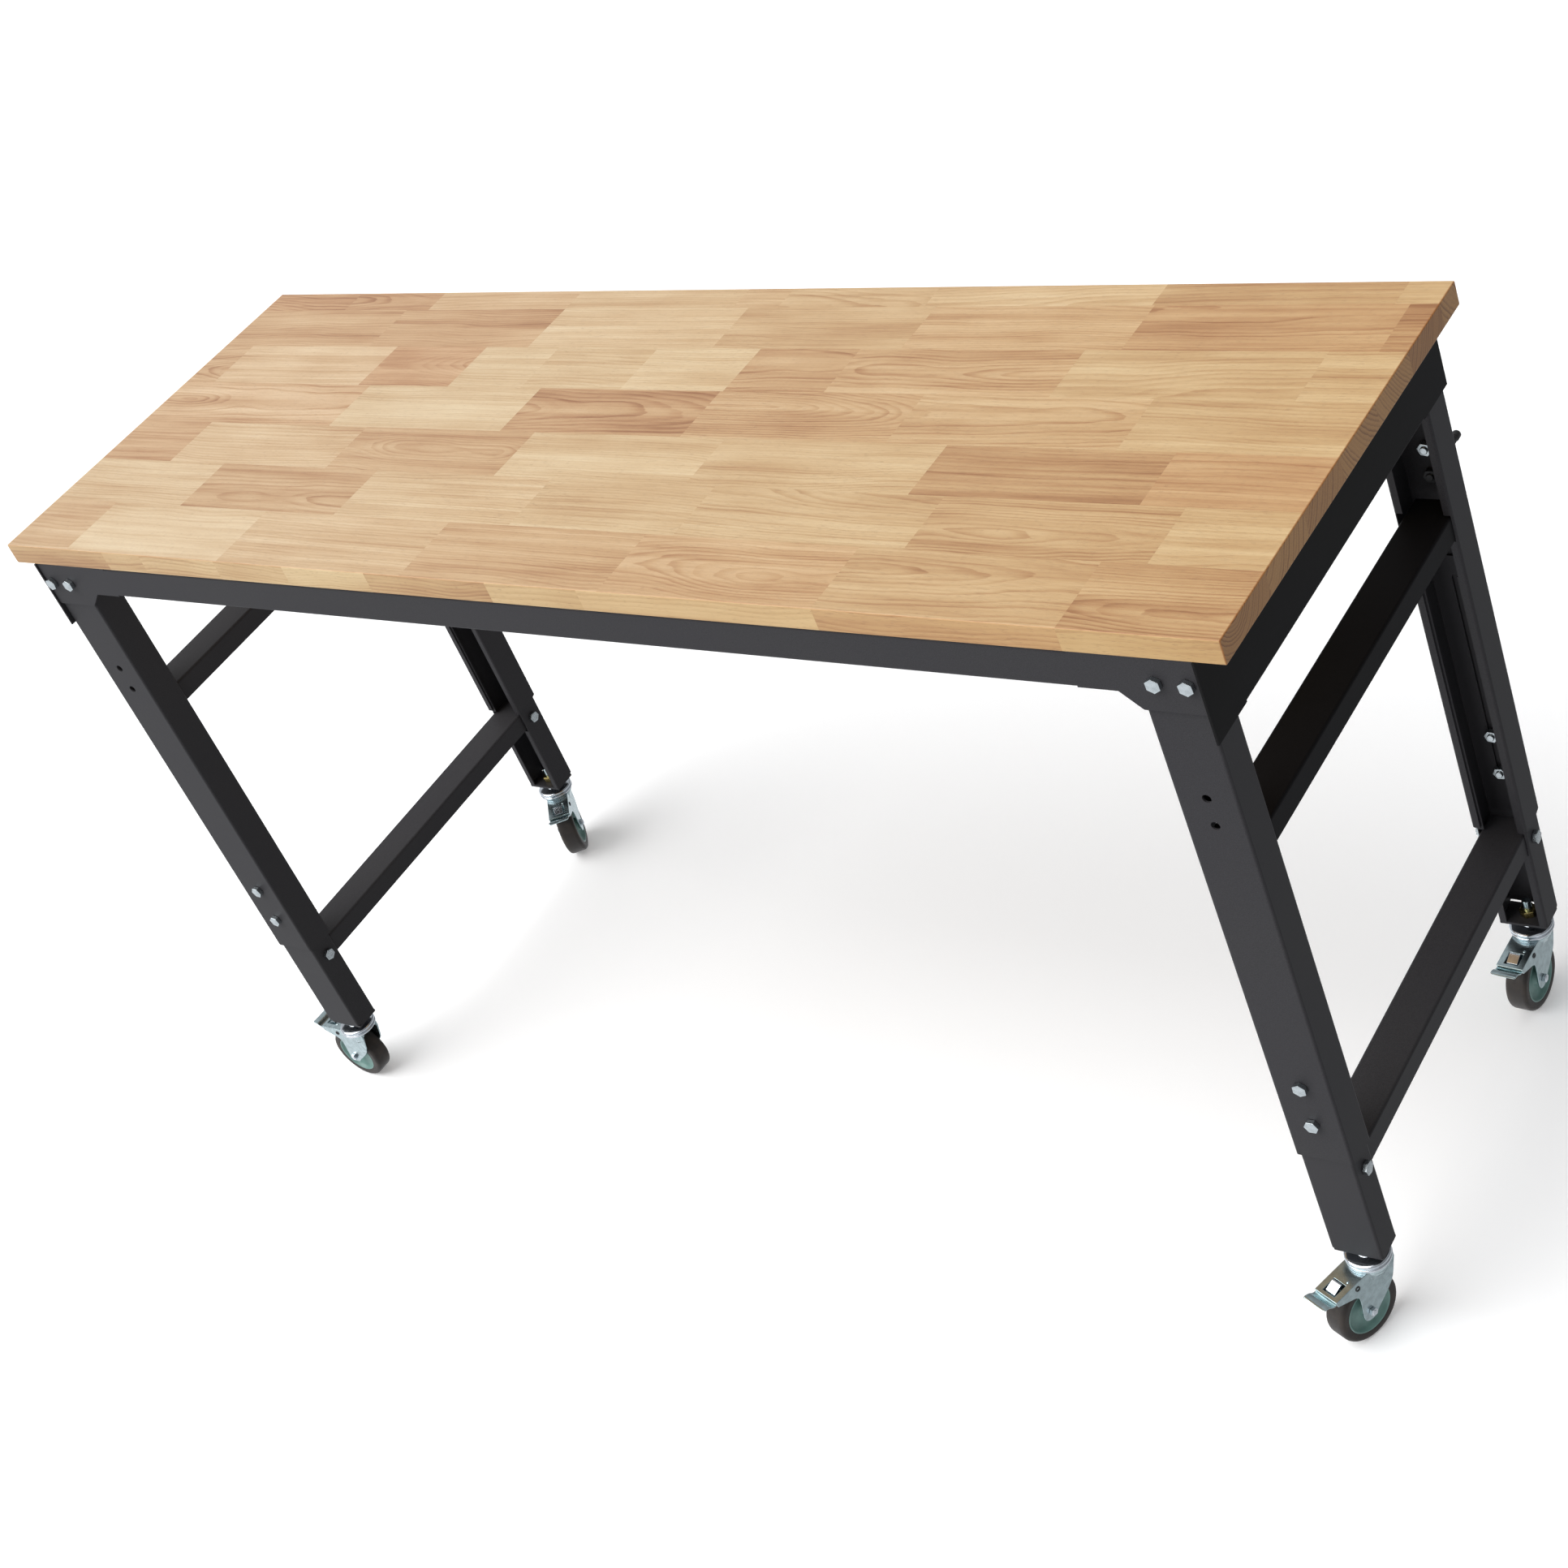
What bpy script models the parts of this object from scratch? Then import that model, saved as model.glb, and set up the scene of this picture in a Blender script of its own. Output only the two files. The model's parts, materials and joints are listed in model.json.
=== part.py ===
"""Rolling workbench with a butcher-block top on a bolted sheet-steel frame.

Two leg frames of lipped channel carry the worktop between a front and a rear
rail. Each leg is a pair of nested channels: the lower one slides down for
height and is held by two bolts. Every leg stands on a braked swivel caster.

Metres, +Z up, floor at z = 0, +X along the bench, front towards -Y. The origin
is on the floor under the middle of the worktop.
"""

import math

import bmesh
import bpy
from mathutils import Matrix, Vector

# ---- driving sizes -------------------------------------------------------------------
TOP_LENGTH = 1.524
TOP_DEPTH = 0.508
TOP_THICKNESS = 0.025
WORK_HEIGHT = 0.880
TOP_EDGE_ROUND = 0.002

GAP = 0.0003
SLIDE_GAP = 0.0005
SHEET = 0.0020
BEND_RADIUS = 0.0026
BEND_STEPS = 3

# ---- frame ---------------------------------------------------------------------------
LEG_OUTER_X = 0.7301
LEG_WEB_Y = 0.2505
LEG_WIDTH = 0.0582
LEG_DEPTH = 0.0389
LEG_LIP = 0.0085
UPPER_LEG_END = 0.2445
LOWER_LEG_END = 0.106
LOWER_LEG_TOP = 0.575
END_CHAMFER_DEPTH = 0.012
END_CHAMFER_HEIGHT = 0.004

LONG_RAIL_HEIGHT = 0.0383
RAIL_END_CLEARANCE = 0.003
GUSSET_START_X = 0.652
GUSSET_FULL_X = 0.671
GUSSET_DROP = 0.018
SIDE_RAIL_HEIGHT = 0.086
SIDE_RAIL_REACH = 0.0043
TOP_FLANGE = 0.025
BOTTOM_FLANGE = 0.012

MID_CROSSBAR_TOP = 0.6477
MID_CROSSBAR_X = 0.7045
LOWER_CROSSBAR_TOP = 0.2383
LOWER_CROSSBAR_X = 0.7018
CROSSBAR_WIDTH = 0.0465
CROSSBAR_HEIGHT = 0.0255
CROSSBAR_END_Y = 0.239
NOTCH_CLEARANCE = 0.0023
CUT_OVERSHOOT = 0.003
HOLE_REACH = 0.02

# ---- fasteners -----------------------------------------------------------------------
BOLT_RADIUS = 0.004
BOLT_HOLE_RADIUS = 0.0045
BOLT_FLATS = 0.013
BOLT_HEAD_HEIGHT = 0.0053
NUT_HEIGHT = 0.0065
THREAD_PAST_NUT = 0.002
BOLT_SIDES = 12
RAIL_BOLT_X = (0.6895, 0.7195)
RAIL_BOLT_Z = 0.829
HEIGHT_BOLT_Z = (0.348, 0.298)
HEIGHT_TRAVEL = 0.200
SPARE_HOLE_Z = (0.7025, 0.6717)
CROSSBAR_BOLT_Y = 0.2305
CROSSBAR_BOLT_Z = 0.2235
PEG_END_Y = 0.3165
PEG_CAP_RADIUS = 0.0048
PEG_CAP_LENGTH = 0.012

# ---- casters -------------------------------------------------------------------------
STEM_X = 0.7015
STEM_Y = 0.231
CASTER_YAW_DEG = {
    "front_left": 177.0,
    "front_right": -112.0,
    "rear_left": -51.0,
    "rear_right": -94.0,
}
WHEEL_RADIUS = 0.038
WHEEL_HALF_WIDTH = 0.012
WHEEL_SIDES = 32
AXLE_HEIGHT = WHEEL_RADIUS * math.cos(math.pi / WHEEL_SIDES)
TREAD_ROUND = 0.003
RIM_RADIUS = 0.028
DISC_RECESS = 0.005
HUB_RADIUS = 0.009
HUB_HALF_LENGTH = 0.0125
TRAIL = 0.025
AXLE_RADIUS = 0.0037
AXLE_HOLE_RADIUS = 0.0041
AXLE_FLATS = 0.010
AXLE_HEAD_HEIGHT = 0.004
FORK_HALF_WIDTH = 0.015
FORK_SHEET = 0.002
LID_FLAT_Z = 0.087
LID_FLAT_END_X = 0.024
LID_END_X = 0.061
LID_END_Z = 0.0842
RACE_RADIUS = 0.0235
RACE_SIDES = 24
LOWER_RACE_Z = (0.086, 0.0905)
UPPER_RACE_Z = (0.091, 0.0965)
MOUNT_PLATE_Z = (0.104, 0.107)
MOUNT_PLATE_EDGE_Y = 0.2457
STEM_RADIUS = 0.005
STEM_TOP = 0.127
STEM_NUT_FLATS = 0.016
STEM_NUT_HEIGHT = 0.008
COLLAR_RADIUS = 0.010
KINGPIN_RADIUS = 0.004
KINGPIN_HEAD_RADIUS = 0.007
KINGPIN_END = 0.0825
PEDAL_PIVOT_X = 0.033
PEDAL_PIVOT_Z = 0.079
PEDAL_HALF_WIDTH = 0.011
PEDAL_TAB_HALF_WIDTH = 0.0145
PEDAL_PIN_RADIUS = 0.0024
PEDAL_PIN_HOLE_RADIUS = 0.0028
WINDOW_X = (0.0405, 0.0565)
WINDOW_HALF_WIDTH = 0.0078
RELEASE_HALF_WIDTH = 0.0062

UNDERSIDE = WORK_HEIGHT - TOP_THICKNESS
RAIL_FACE_Y = LEG_WEB_Y + GAP + SHEET
SIDE_FACE_X = LEG_OUTER_X + GAP + SHEET
LEG_INNER_X = LEG_OUTER_X - LEG_WIDTH
LEG_CENTRE_X = LEG_OUTER_X - LEG_WIDTH / 2
LEG_OPEN_Y = LEG_WEB_Y - LEG_DEPTH
NEST_STEP = SHEET + SLIDE_GAP

SIDES = {"left": -1, "right": 1}
ENDS = {"front": -1, "rear": 1}

# Columns carry an outline's first and second coordinates and its thickness
# to world axes: (y, z) drawn and pushed along X, (x, z) along Y, (x, y) along Z.
DRAWN_ALONG = {
    "X": Matrix(((0, 0, 1), (1, 0, 0), (0, 1, 0))),
    "Y": Matrix(((1, 0, 0), (0, 0, -1), (0, 1, 0))),
    "Z": Matrix.Identity(3),
}
PUSH_SIGN = {"X": 1, "Y": -1, "Z": 1}


# ---- scene helpers -------------------------------------------------------------------
def clear_scene():
    for obj in list(bpy.data.objects):
        bpy.data.objects.remove(obj, do_unlink=True)


def new_collection(name, hidden=False):
    collection = bpy.data.collections.new(name)
    bpy.context.scene.collection.children.link(collection)
    collection.hide_render = hidden
    return collection


def principled(name, colour, roughness, metallic):
    material = bpy.data.materials.new(name)
    material.use_nodes = True
    shader = material.node_tree.nodes["Principled BSDF"]
    shader.inputs["Base Color"].default_value = (*colour, 1.0)
    shader.inputs["Roughness"].default_value = roughness
    shader.inputs["Metallic"].default_value = metallic
    return material


clear_scene()
PARTS = new_collection("workbench")
CUTTERS = new_collection("workbench_cutters", hidden=True)
WOOD = principled("oiled_rubberwood", (0.62, 0.40, 0.20), 0.38, 0.0)
POWDER_COAT = principled("charcoal_powder_coat", (0.035, 0.035, 0.038), 0.45, 0.0)
ZINC = principled("zinc_plate", (0.62, 0.66, 0.68), 0.28, 1.0)
BLACK_STEEL = principled("black_oxide", (0.03, 0.03, 0.03), 0.4, 0.6)
TYRE = principled("brown_black_rubber", (0.05, 0.04, 0.035), 0.6, 0.0)


def part(obj, name, material):
    """Makes an object a finished piece of the bench."""
    obj.name = name
    obj.data.name = name
    for collection in list(obj.users_collection):
        collection.objects.unlink(obj)
    PARTS.objects.link(obj)
    obj.data.materials.clear()
    obj.data.materials.append(material)
    return obj


def tool(obj):
    """Hides an object that only cuts or joins another."""
    obj.hide_render = True
    obj.display_type = "WIRE"
    for collection in list(obj.users_collection):
        collection.objects.unlink(obj)
    CUTTERS.objects.link(obj)
    return obj


def combine(obj, other, operation):
    modifier = obj.modifiers.new(operation.lower(), "BOOLEAN")
    modifier.operation = operation
    modifier.solver = "EXACT"
    modifier.object = tool(other)
    return obj


def cut(obj, *cutters):
    for cutter in cutters:
        combine(obj, cutter, "DIFFERENCE")
    return obj


def join(obj, *others):
    for other in others:
        combine(obj, other, "UNION")
    return obj


def sheet_part(obj, name):
    return part(obj, name, POWDER_COAT)


def settled_mesh(obj, name):
    """An object's mesh with its modifiers worked in; the object and its tools are removed."""
    mesh = evaluated_mesh(obj)
    mesh.name = name
    tools = [modifier.object for modifier in obj.modifiers if modifier.type == "BOOLEAN"]
    for done in [obj, *tools]:
        bpy.data.objects.remove(done, do_unlink=True)
    return mesh


def soften(mesh, sharp_deg=35.0):
    mesh.shade_smooth()
    mesh.set_sharp_from_angle(angle=math.radians(sharp_deg))


# ---- basic solids --------------------------------------------------------------------
def object_from(bm, name):
    mesh = bpy.data.meshes.new(name)
    bmesh.ops.recalc_face_normals(bm, faces=bm.faces)
    if bm.calc_volume(signed=True) < 0.0:
        bmesh.ops.reverse_faces(bm, faces=bm.faces)
    bm.to_mesh(mesh)
    bm.free()
    obj = bpy.data.objects.new(name, mesh)
    bpy.context.scene.collection.objects.link(obj)
    return obj


def block(low, high, name="block"):
    """A box between two opposite corners."""
    low, high = Vector(low), Vector(high)
    bm = bmesh.new()
    bmesh.ops.create_cube(bm, size=1.0)
    size = Matrix.Diagonal([abs(b - a) for a, b in zip(low, high)]).to_4x4()
    bm.transform(Matrix.Translation((low + high) / 2) @ size)
    return object_from(bm, name)


def rod(radius, start, end, sides=BOLT_SIDES, name="rod"):
    """A cylinder, or with few sides a prism, from one point to another."""
    start, end = Vector(start), Vector(end)
    along = end - start
    bm = bmesh.new()
    bmesh.ops.create_cone(
        bm, cap_ends=True, segments=sides, radius1=radius, radius2=radius, depth=along.length
    )
    facing = along.to_track_quat("Z", "Y").to_matrix().to_4x4()
    bm.transform(Matrix.Translation((start + end) / 2) @ facing)
    return object_from(bm, name)


def hexagon(flats, start, end, name="hexagon"):
    return rod(flats / math.sqrt(3), start, end, sides=6, name=name)


def evaluated_mesh(obj):
    """A copy of an object's mesh as its modifiers and its place leave it."""
    bpy.context.view_layer.update()
    evaluated = obj.evaluated_get(bpy.context.evaluated_depsgraph_get())
    mesh = bpy.data.meshes.new_from_object(evaluated)
    mesh.transform(obj.matrix_world)
    return mesh


def drawn(outline, start, end, along, name="drawn"):
    """A flat outline pushed from one coordinate to another along a world axis."""
    curve = bpy.data.curves.new(name, "CURVE")
    curve.dimensions = "2D"
    curve.fill_mode = "BOTH"
    curve.extrude = abs(end - start) / 2
    spline = curve.splines.new("POLY")
    spline.points.add(len(outline) - 1)
    for point, (first, second) in zip(spline.points, outline):
        point.co = (first, second, 0.0, 1.0)
    spline.use_cyclic_u = True
    flat = bpy.data.objects.new(name, curve)
    bpy.context.scene.collection.objects.link(flat)
    middle = Vector((0.0, 0.0, PUSH_SIGN[along] * (start + end) / 2))
    flat.matrix_world = DRAWN_ALONG[along].to_4x4() @ Matrix.Translation(middle)
    mesh = evaluated_mesh(flat)
    bpy.data.objects.remove(flat, do_unlink=True)
    bm = bmesh.new()
    bm.from_mesh(mesh)
    bpy.data.meshes.remove(mesh)
    bmesh.ops.remove_doubles(bm, verts=bm.verts, dist=1e-6)
    return object_from(bm, name)


def turned(profile, sides, name="turned", closed=False):
    """A solid of revolution about Z from (radius, height) points."""
    bm = bmesh.new()
    verts = [bm.verts.new((radius, 0.0, height)) for radius, height in profile]
    pairs = list(zip(verts, verts[1:]))
    if closed:
        pairs.append((verts[-1], verts[0]))
    for pair in pairs:
        bm.edges.new(pair)
    mesh = bpy.data.meshes.new(name)
    bm.to_mesh(mesh)
    bm.free()
    lathe = bpy.data.objects.new(name, mesh)
    bpy.context.scene.collection.objects.link(lathe)
    screw = lathe.modifiers.new("turn", "SCREW")
    screw.steps = sides
    screw.render_steps = sides
    screw.use_merge_vertices = True
    screw.merge_threshold = 1e-5
    solid = evaluated_mesh(lathe)
    bpy.data.objects.remove(lathe, do_unlink=True)
    bm = bmesh.new()
    bm.from_mesh(solid)
    bpy.data.meshes.remove(solid)
    bmesh.ops.remove_doubles(bm, verts=bm.verts, dist=1e-6)
    return object_from(bm, name)


def rounded(corners):
    """An outline whose corners (first, second, radius) are turned as arcs."""
    outline = []
    for index, (first, second, radius) in enumerate(corners):
        here = Vector((first, second))
        if radius == 0.0:
            outline.append((first, second))
            continue
        before = (Vector(corners[index - 1][:2]) - here).normalized()
        after = (Vector(corners[(index + 1) % len(corners)][:2]) - here).normalized()
        half = before.angle(after) / 2
        centre = here + (before + after).normalized() * radius / math.sin(half)
        spokes = [here + way * radius / math.tan(half) - centre for way in (before, after)]
        first_angle, last_angle = [math.atan2(spoke.y, spoke.x) for spoke in spokes]
        sweep = (last_angle - first_angle + math.pi) % (2 * math.pi) - math.pi
        for step in range(BEND_STEPS + 1):
            angle = first_angle + sweep * step / BEND_STEPS
            outline.append((centre.x + radius * math.cos(angle), centre.y + radius * math.sin(angle)))
    return outline


def placed(corners, side, back, inset=0.0):
    """Leg corners, measured in from the outer flange and the web, as world (x, y)."""
    return [
        (side * (LEG_OUTER_X - inset - u), back * (LEG_WEB_Y - inset - v), radius)
        for u, v, radius in corners
    ]


# ---- sheet-metal sections ------------------------------------------------------------
OUTER_BEND = BEND_RADIUS
INNER_BEND = BEND_RADIUS - SHEET


def leg_section(side, back, inset):
    """A C with inturned lips, `inset` inside the upper leg's outer faces."""
    width, depth = LEG_WIDTH - 2 * inset, LEG_DEPTH - 2 * inset
    corners = [
        (0.0, 0.0, OUTER_BEND),
        (width, 0.0, OUTER_BEND),
        (width, depth, OUTER_BEND),
        (width - LEG_LIP, depth, 0.0),
        (width - LEG_LIP, depth - SHEET, 0.0),
        (width - SHEET, depth - SHEET, INNER_BEND),
        (width - SHEET, SHEET, INNER_BEND),
        (SHEET, SHEET, INNER_BEND),
        (SHEET, depth - SHEET, INNER_BEND),
        (LEG_LIP, depth - SHEET, 0.0),
        (LEG_LIP, depth, 0.0),
        (0.0, depth, OUTER_BEND),
    ]
    return rounded(placed(corners, side, back, inset))


def rail_section(height, face, inward):
    """A rail's C in (distance, z): web at `face`, flanges turned by `inward`, +1 or -1."""
    top = UNDERSIDE - GAP
    bottom = top - height
    back = face + inward * SHEET
    upper = face + inward * TOP_FLANGE
    lower = face + inward * BOTTOM_FLANGE
    return rounded([
        (face, bottom, OUTER_BEND),
        (lower, bottom, 0.0),
        (lower, bottom + SHEET, 0.0),
        (back, bottom + SHEET, INNER_BEND),
        (back, top - SHEET, INNER_BEND),
        (upper, top - SHEET, 0.0),
        (upper, top, 0.0),
        (face, top, OUTER_BEND),
    ])


def crossbar_section(centre, width, top):
    """A U upside down in (x, z)."""
    half = width / 2
    bottom = top - CROSSBAR_HEIGHT
    corners = [
        (-half, bottom, 0.0),
        (-half, top, OUTER_BEND),
        (half, top, OUTER_BEND),
        (half, bottom, 0.0),
        (half - SHEET, bottom, 0.0),
        (half - SHEET, top - SHEET, INNER_BEND),
        (-half + SHEET, top - SHEET, INNER_BEND),
        (-half + SHEET, bottom, 0.0),
    ]
    return rounded([(centre + x, z, radius) for x, z, radius in corners])


# ---- worktop and rails ---------------------------------------------------------------
def build_worktop():
    half_x, half_y = TOP_LENGTH / 2, TOP_DEPTH / 2
    top = block((-half_x, -half_y, UNDERSIDE), (half_x, half_y, WORK_HEIGHT))
    bevel = top.modifiers.new("rounded_edges", "BEVEL")
    bevel.width = TOP_EDGE_ROUND
    bevel.segments = 2
    part(top, "worktop", WOOD)


def gusset_outline(side):
    """End plate of a long rail, dropping to cover the head of the leg."""
    top = UNDERSIDE - GAP
    bottom = top - LONG_RAIL_HEIGHT
    root = GUSSET_START_X - LONG_RAIL_HEIGHT
    corners = [
        (root, top, 0.0),
        (root, bottom, 0.0),
        (GUSSET_START_X, bottom, 0.0),
        (GUSSET_FULL_X, bottom - GUSSET_DROP, BEND_RADIUS),
        (LEG_OUTER_X, bottom - GUSSET_DROP, BEND_RADIUS),
        (LEG_OUTER_X, top, 0.0),
    ]
    return rounded([(side * x, z, radius) for x, z, radius in corners])


def hole_along_y(x, y, z, radius=BOLT_HOLE_RADIUS):
    reach = Vector((0.0, HOLE_REACH, 0.0))
    centre = Vector((x, y, z))
    return rod(radius, centre - reach, centre + reach, name="hole")


def build_long_rail(end, back):
    face = back * RAIL_FACE_Y
    channel_end = LEG_INNER_X - RAIL_END_CLEARANCE
    rail = drawn(rail_section(LONG_RAIL_HEIGHT, face, -back), -channel_end, channel_end, "X")
    for side in SIDES.values():
        join(rail, drawn(gusset_outline(side), face - back * SHEET, face, "Y"))
        cut(rail, *[hole_along_y(side * x, face, RAIL_BOLT_Z) for x in RAIL_BOLT_X])
    sheet_part(rail, f"{end}_rail")


def build_side_rail(hand, side):
    top = UNDERSIDE - GAP
    face = side * SIDE_FACE_X
    flange_end = LEG_OPEN_Y - 2 * GAP
    web_end = LEG_WEB_Y + SIDE_RAIL_REACH
    rail = drawn(rail_section(SIDE_RAIL_HEIGHT, face, -side), -flange_end, flange_end, "Y")
    for back in ENDS.values():
        join(rail, block(
            (face - side * SHEET, back * (flange_end - BOTTOM_FLANGE), top - SIDE_RAIL_HEIGHT),
            (face, back * web_end, top),
            name="web_end",
        ))
    sheet_part(rail, f"side_rail_{hand}")


# ---- legs and crossbars --------------------------------------------------------------
def end_wedge(back, web_y, end_z):
    """What is trimmed off a leg's lower end, rising towards its web."""
    slope = END_CHAMFER_HEIGHT / END_CHAMFER_DEPTH
    below = end_z - CUT_OVERSHOOT * slope
    outline = [
        (back * (web_y + CUT_OVERSHOOT), end_z + END_CHAMFER_HEIGHT + CUT_OVERSHOOT * slope),
        (back * (web_y + CUT_OVERSHOOT), below),
        (back * (web_y - END_CHAMFER_DEPTH - CUT_OVERSHOOT), below),
    ]
    reach = LEG_OUTER_X + LEG_WIDTH
    return drawn(outline, -reach, reach, "X", name="end_wedge")


def lip_notch(side, back, inset, crossbar_top):
    """Opening in a leg's lips where a crossbar goes in between its flanges."""
    open_y = LEG_OPEN_Y + inset
    return block(
        (side * (LEG_INNER_X + inset + SHEET), back * (open_y - SHEET),
         crossbar_top - CROSSBAR_HEIGHT - NOTCH_CLEARANCE),
        (side * (LEG_OUTER_X - inset - SHEET), back * (open_y + SHEET + INNER_BEND + GAP),
         crossbar_top + NOTCH_CLEARANCE),
        name="lip_notch",
    )


def build_upper_leg(hand, side, end, back):
    leg = drawn(leg_section(side, back, 0.0), UPPER_LEG_END, UNDERSIDE - GAP, "Z")
    cut(leg, end_wedge(back, LEG_WEB_Y, UPPER_LEG_END))
    cut(leg, lip_notch(side, back, 0.0, MID_CROSSBAR_TOP))
    web_y = back * LEG_WEB_Y
    cut(leg, *[hole_along_y(side * x, web_y, RAIL_BOLT_Z) for x in RAIL_BOLT_X])
    for z in (*SPARE_HOLE_Z, *HEIGHT_BOLT_Z):
        cut(leg, hole_along_y(side * LEG_CENTRE_X, web_y, z))
    sheet_part(leg, f"upper_leg_{end}_{hand}")


def height_slot(side, back):
    """One slot in place of the row of height holes, long enough for the whole travel."""
    half = BOLT_HOLE_RADIUS
    low = min(HEIGHT_BOLT_Z) - half
    high = max(HEIGHT_BOLT_Z) + HEIGHT_TRAVEL + half
    centre = side * LEG_CENTRE_X
    turn = half - GAP
    outline = rounded([
        (centre - half, low, turn), (centre + half, low, turn),
        (centre + half, high, turn), (centre - half, high, turn),
    ])
    web = back * (LEG_WEB_Y - NEST_STEP)
    return drawn(outline, web - HOLE_REACH, web + HOLE_REACH, "Y", name="height_slot")


def build_lower_leg(hand, side, end, back):
    leg = drawn(leg_section(side, back, NEST_STEP), LOWER_LEG_END, LOWER_LEG_TOP, "Z")
    cut(leg, end_wedge(back, LEG_WEB_Y - NEST_STEP, LOWER_LEG_END))
    join(leg, block(
        (side * (LEG_INNER_X + NEST_STEP + SHEET / 2), back * (LEG_OPEN_Y + NEST_STEP), MOUNT_PLATE_Z[0]),
        (side * (LEG_OUTER_X - NEST_STEP - SHEET / 2), back * MOUNT_PLATE_EDGE_Y, MOUNT_PLATE_Z[1]),
        name="mount_plate",
    ))
    cut(leg, lip_notch(side, back, NEST_STEP, LOWER_CROSSBAR_TOP))
    cut(leg, height_slot(side, back))
    cut(leg, crossbar_bolt_hole(side, back))
    foot = Vector((side * STEM_X, back * STEM_Y, LOWER_LEG_END))
    reach = Vector((0.0, 0.0, HOLE_REACH))
    cut(leg, rod(STEM_RADIUS + SLIDE_GAP, foot - reach, foot + reach, name="stem_hole"))
    sheet_part(leg, f"lower_leg_{end}_{hand}")


def crossbar_bolt_hole(side, back):
    reach = Vector((LEG_WIDTH, 0.0, 0.0))
    centre = Vector((side * LEG_CENTRE_X, back * CROSSBAR_BOLT_Y, CROSSBAR_BOLT_Z))
    return rod(BOLT_HOLE_RADIUS, centre - reach, centre + reach, name="crossbar_bolt_hole")


def build_crossbars(hand, side):
    middle = drawn(
        crossbar_section(side * MID_CROSSBAR_X, CROSSBAR_WIDTH, MID_CROSSBAR_TOP),
        -CROSSBAR_END_Y, CROSSBAR_END_Y, "Y",
    )
    sheet_part(middle, f"mid_crossbar_{hand}")
    lower = drawn(
        crossbar_section(side * LOWER_CROSSBAR_X, CROSSBAR_WIDTH, LOWER_CROSSBAR_TOP),
        -CROSSBAR_END_Y, CROSSBAR_END_Y, "Y",
    )
    for back in ENDS.values():
        cut(lower, crossbar_bolt_hole(side, back))
    sheet_part(lower, f"lower_crossbar_{hand}")


# ---- fasteners -----------------------------------------------------------------------
def bolt_mesh(grip, name):
    """A hex bolt and its nut as one body, its head's underside at 0, its head up."""
    nut_top = -grip
    nut_end = nut_top - NUT_HEIGHT
    bolt = rod(BOLT_RADIUS, (0, 0, nut_end - THREAD_PAST_NUT), (0, 0, BOLT_HEAD_HEIGHT / 2))
    join(bolt, hexagon(BOLT_FLATS, (0, 0, 0), (0, 0, BOLT_HEAD_HEIGHT)))
    join(bolt, hexagon(BOLT_FLATS, (0, 0, nut_end), (0, 0, nut_top)))
    return settled_mesh(bolt, name)


def place_bolt(mesh, name, seat, outward):
    bolt = bpy.data.objects.new(name, mesh.copy())
    bpy.context.scene.collection.objects.link(bolt)
    bolt.location = seat
    bolt.rotation_mode = "QUATERNION"
    bolt.rotation_quaternion = Vector(outward).to_track_quat("Z", "Y")
    part(bolt, name, ZINC)


def build_fasteners():
    web_bolt = bolt_mesh(2 * SHEET + SLIDE_GAP + 2 * GAP, "web_bolt")
    through_bolt = bolt_mesh(LEG_WIDTH - 2 * NEST_STEP + 2 * GAP, "through_bolt")
    for end, back in ENDS.items():
        for hand, side in SIDES.items():
            out = (0, back, 0)
            for place, x in zip(("inner", "outer"), RAIL_BOLT_X):
                seat = (side * x, back * (RAIL_FACE_Y + GAP), RAIL_BOLT_Z)
                place_bolt(web_bolt, f"rail_bolt_{end}_{hand}_{place}", seat, out)
            for place, z in zip(("upper", "lower"), HEIGHT_BOLT_Z):
                seat = (side * LEG_CENTRE_X, back * (LEG_WEB_Y + GAP), z)
                place_bolt(web_bolt, f"height_bolt_{end}_{hand}_{place}", seat, out)
            head_x = side * LEG_CENTRE_X + LEG_WIDTH / 2 - NEST_STEP + GAP
            seat = (head_x, back * CROSSBAR_BOLT_Y, CROSSBAR_BOLT_Z)
            place_bolt(through_bolt, f"crossbar_bolt_{end}_{hand}", seat, (1, 0, 0))


def build_rear_peg(hand, side):
    """A long black screw through the lower spare hole of a rear leg, its end a hanging peg."""
    x, z = side * LEG_CENTRE_X, min(SPARE_HOLE_Z)
    inner_face = LEG_WEB_Y - SHEET - GAP
    nut_end = inner_face - NUT_HEIGHT

    def at(y):
        return (x, y, z)

    peg = rod(BOLT_RADIUS, at(nut_end - THREAD_PAST_NUT), at(PEG_END_Y - GAP))
    join(peg, hexagon(BOLT_FLATS, at(nut_end), at(inner_face)))
    join(peg, hexagon(BOLT_FLATS, at(LEG_WEB_Y + GAP), at(LEG_WEB_Y + GAP + NUT_HEIGHT)))
    join(peg, rod(PEG_CAP_RADIUS, at(PEG_END_Y - PEG_CAP_LENGTH), at(PEG_END_Y)))
    part(peg, f"rear_peg_{hand}", BLACK_STEEL)


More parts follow.
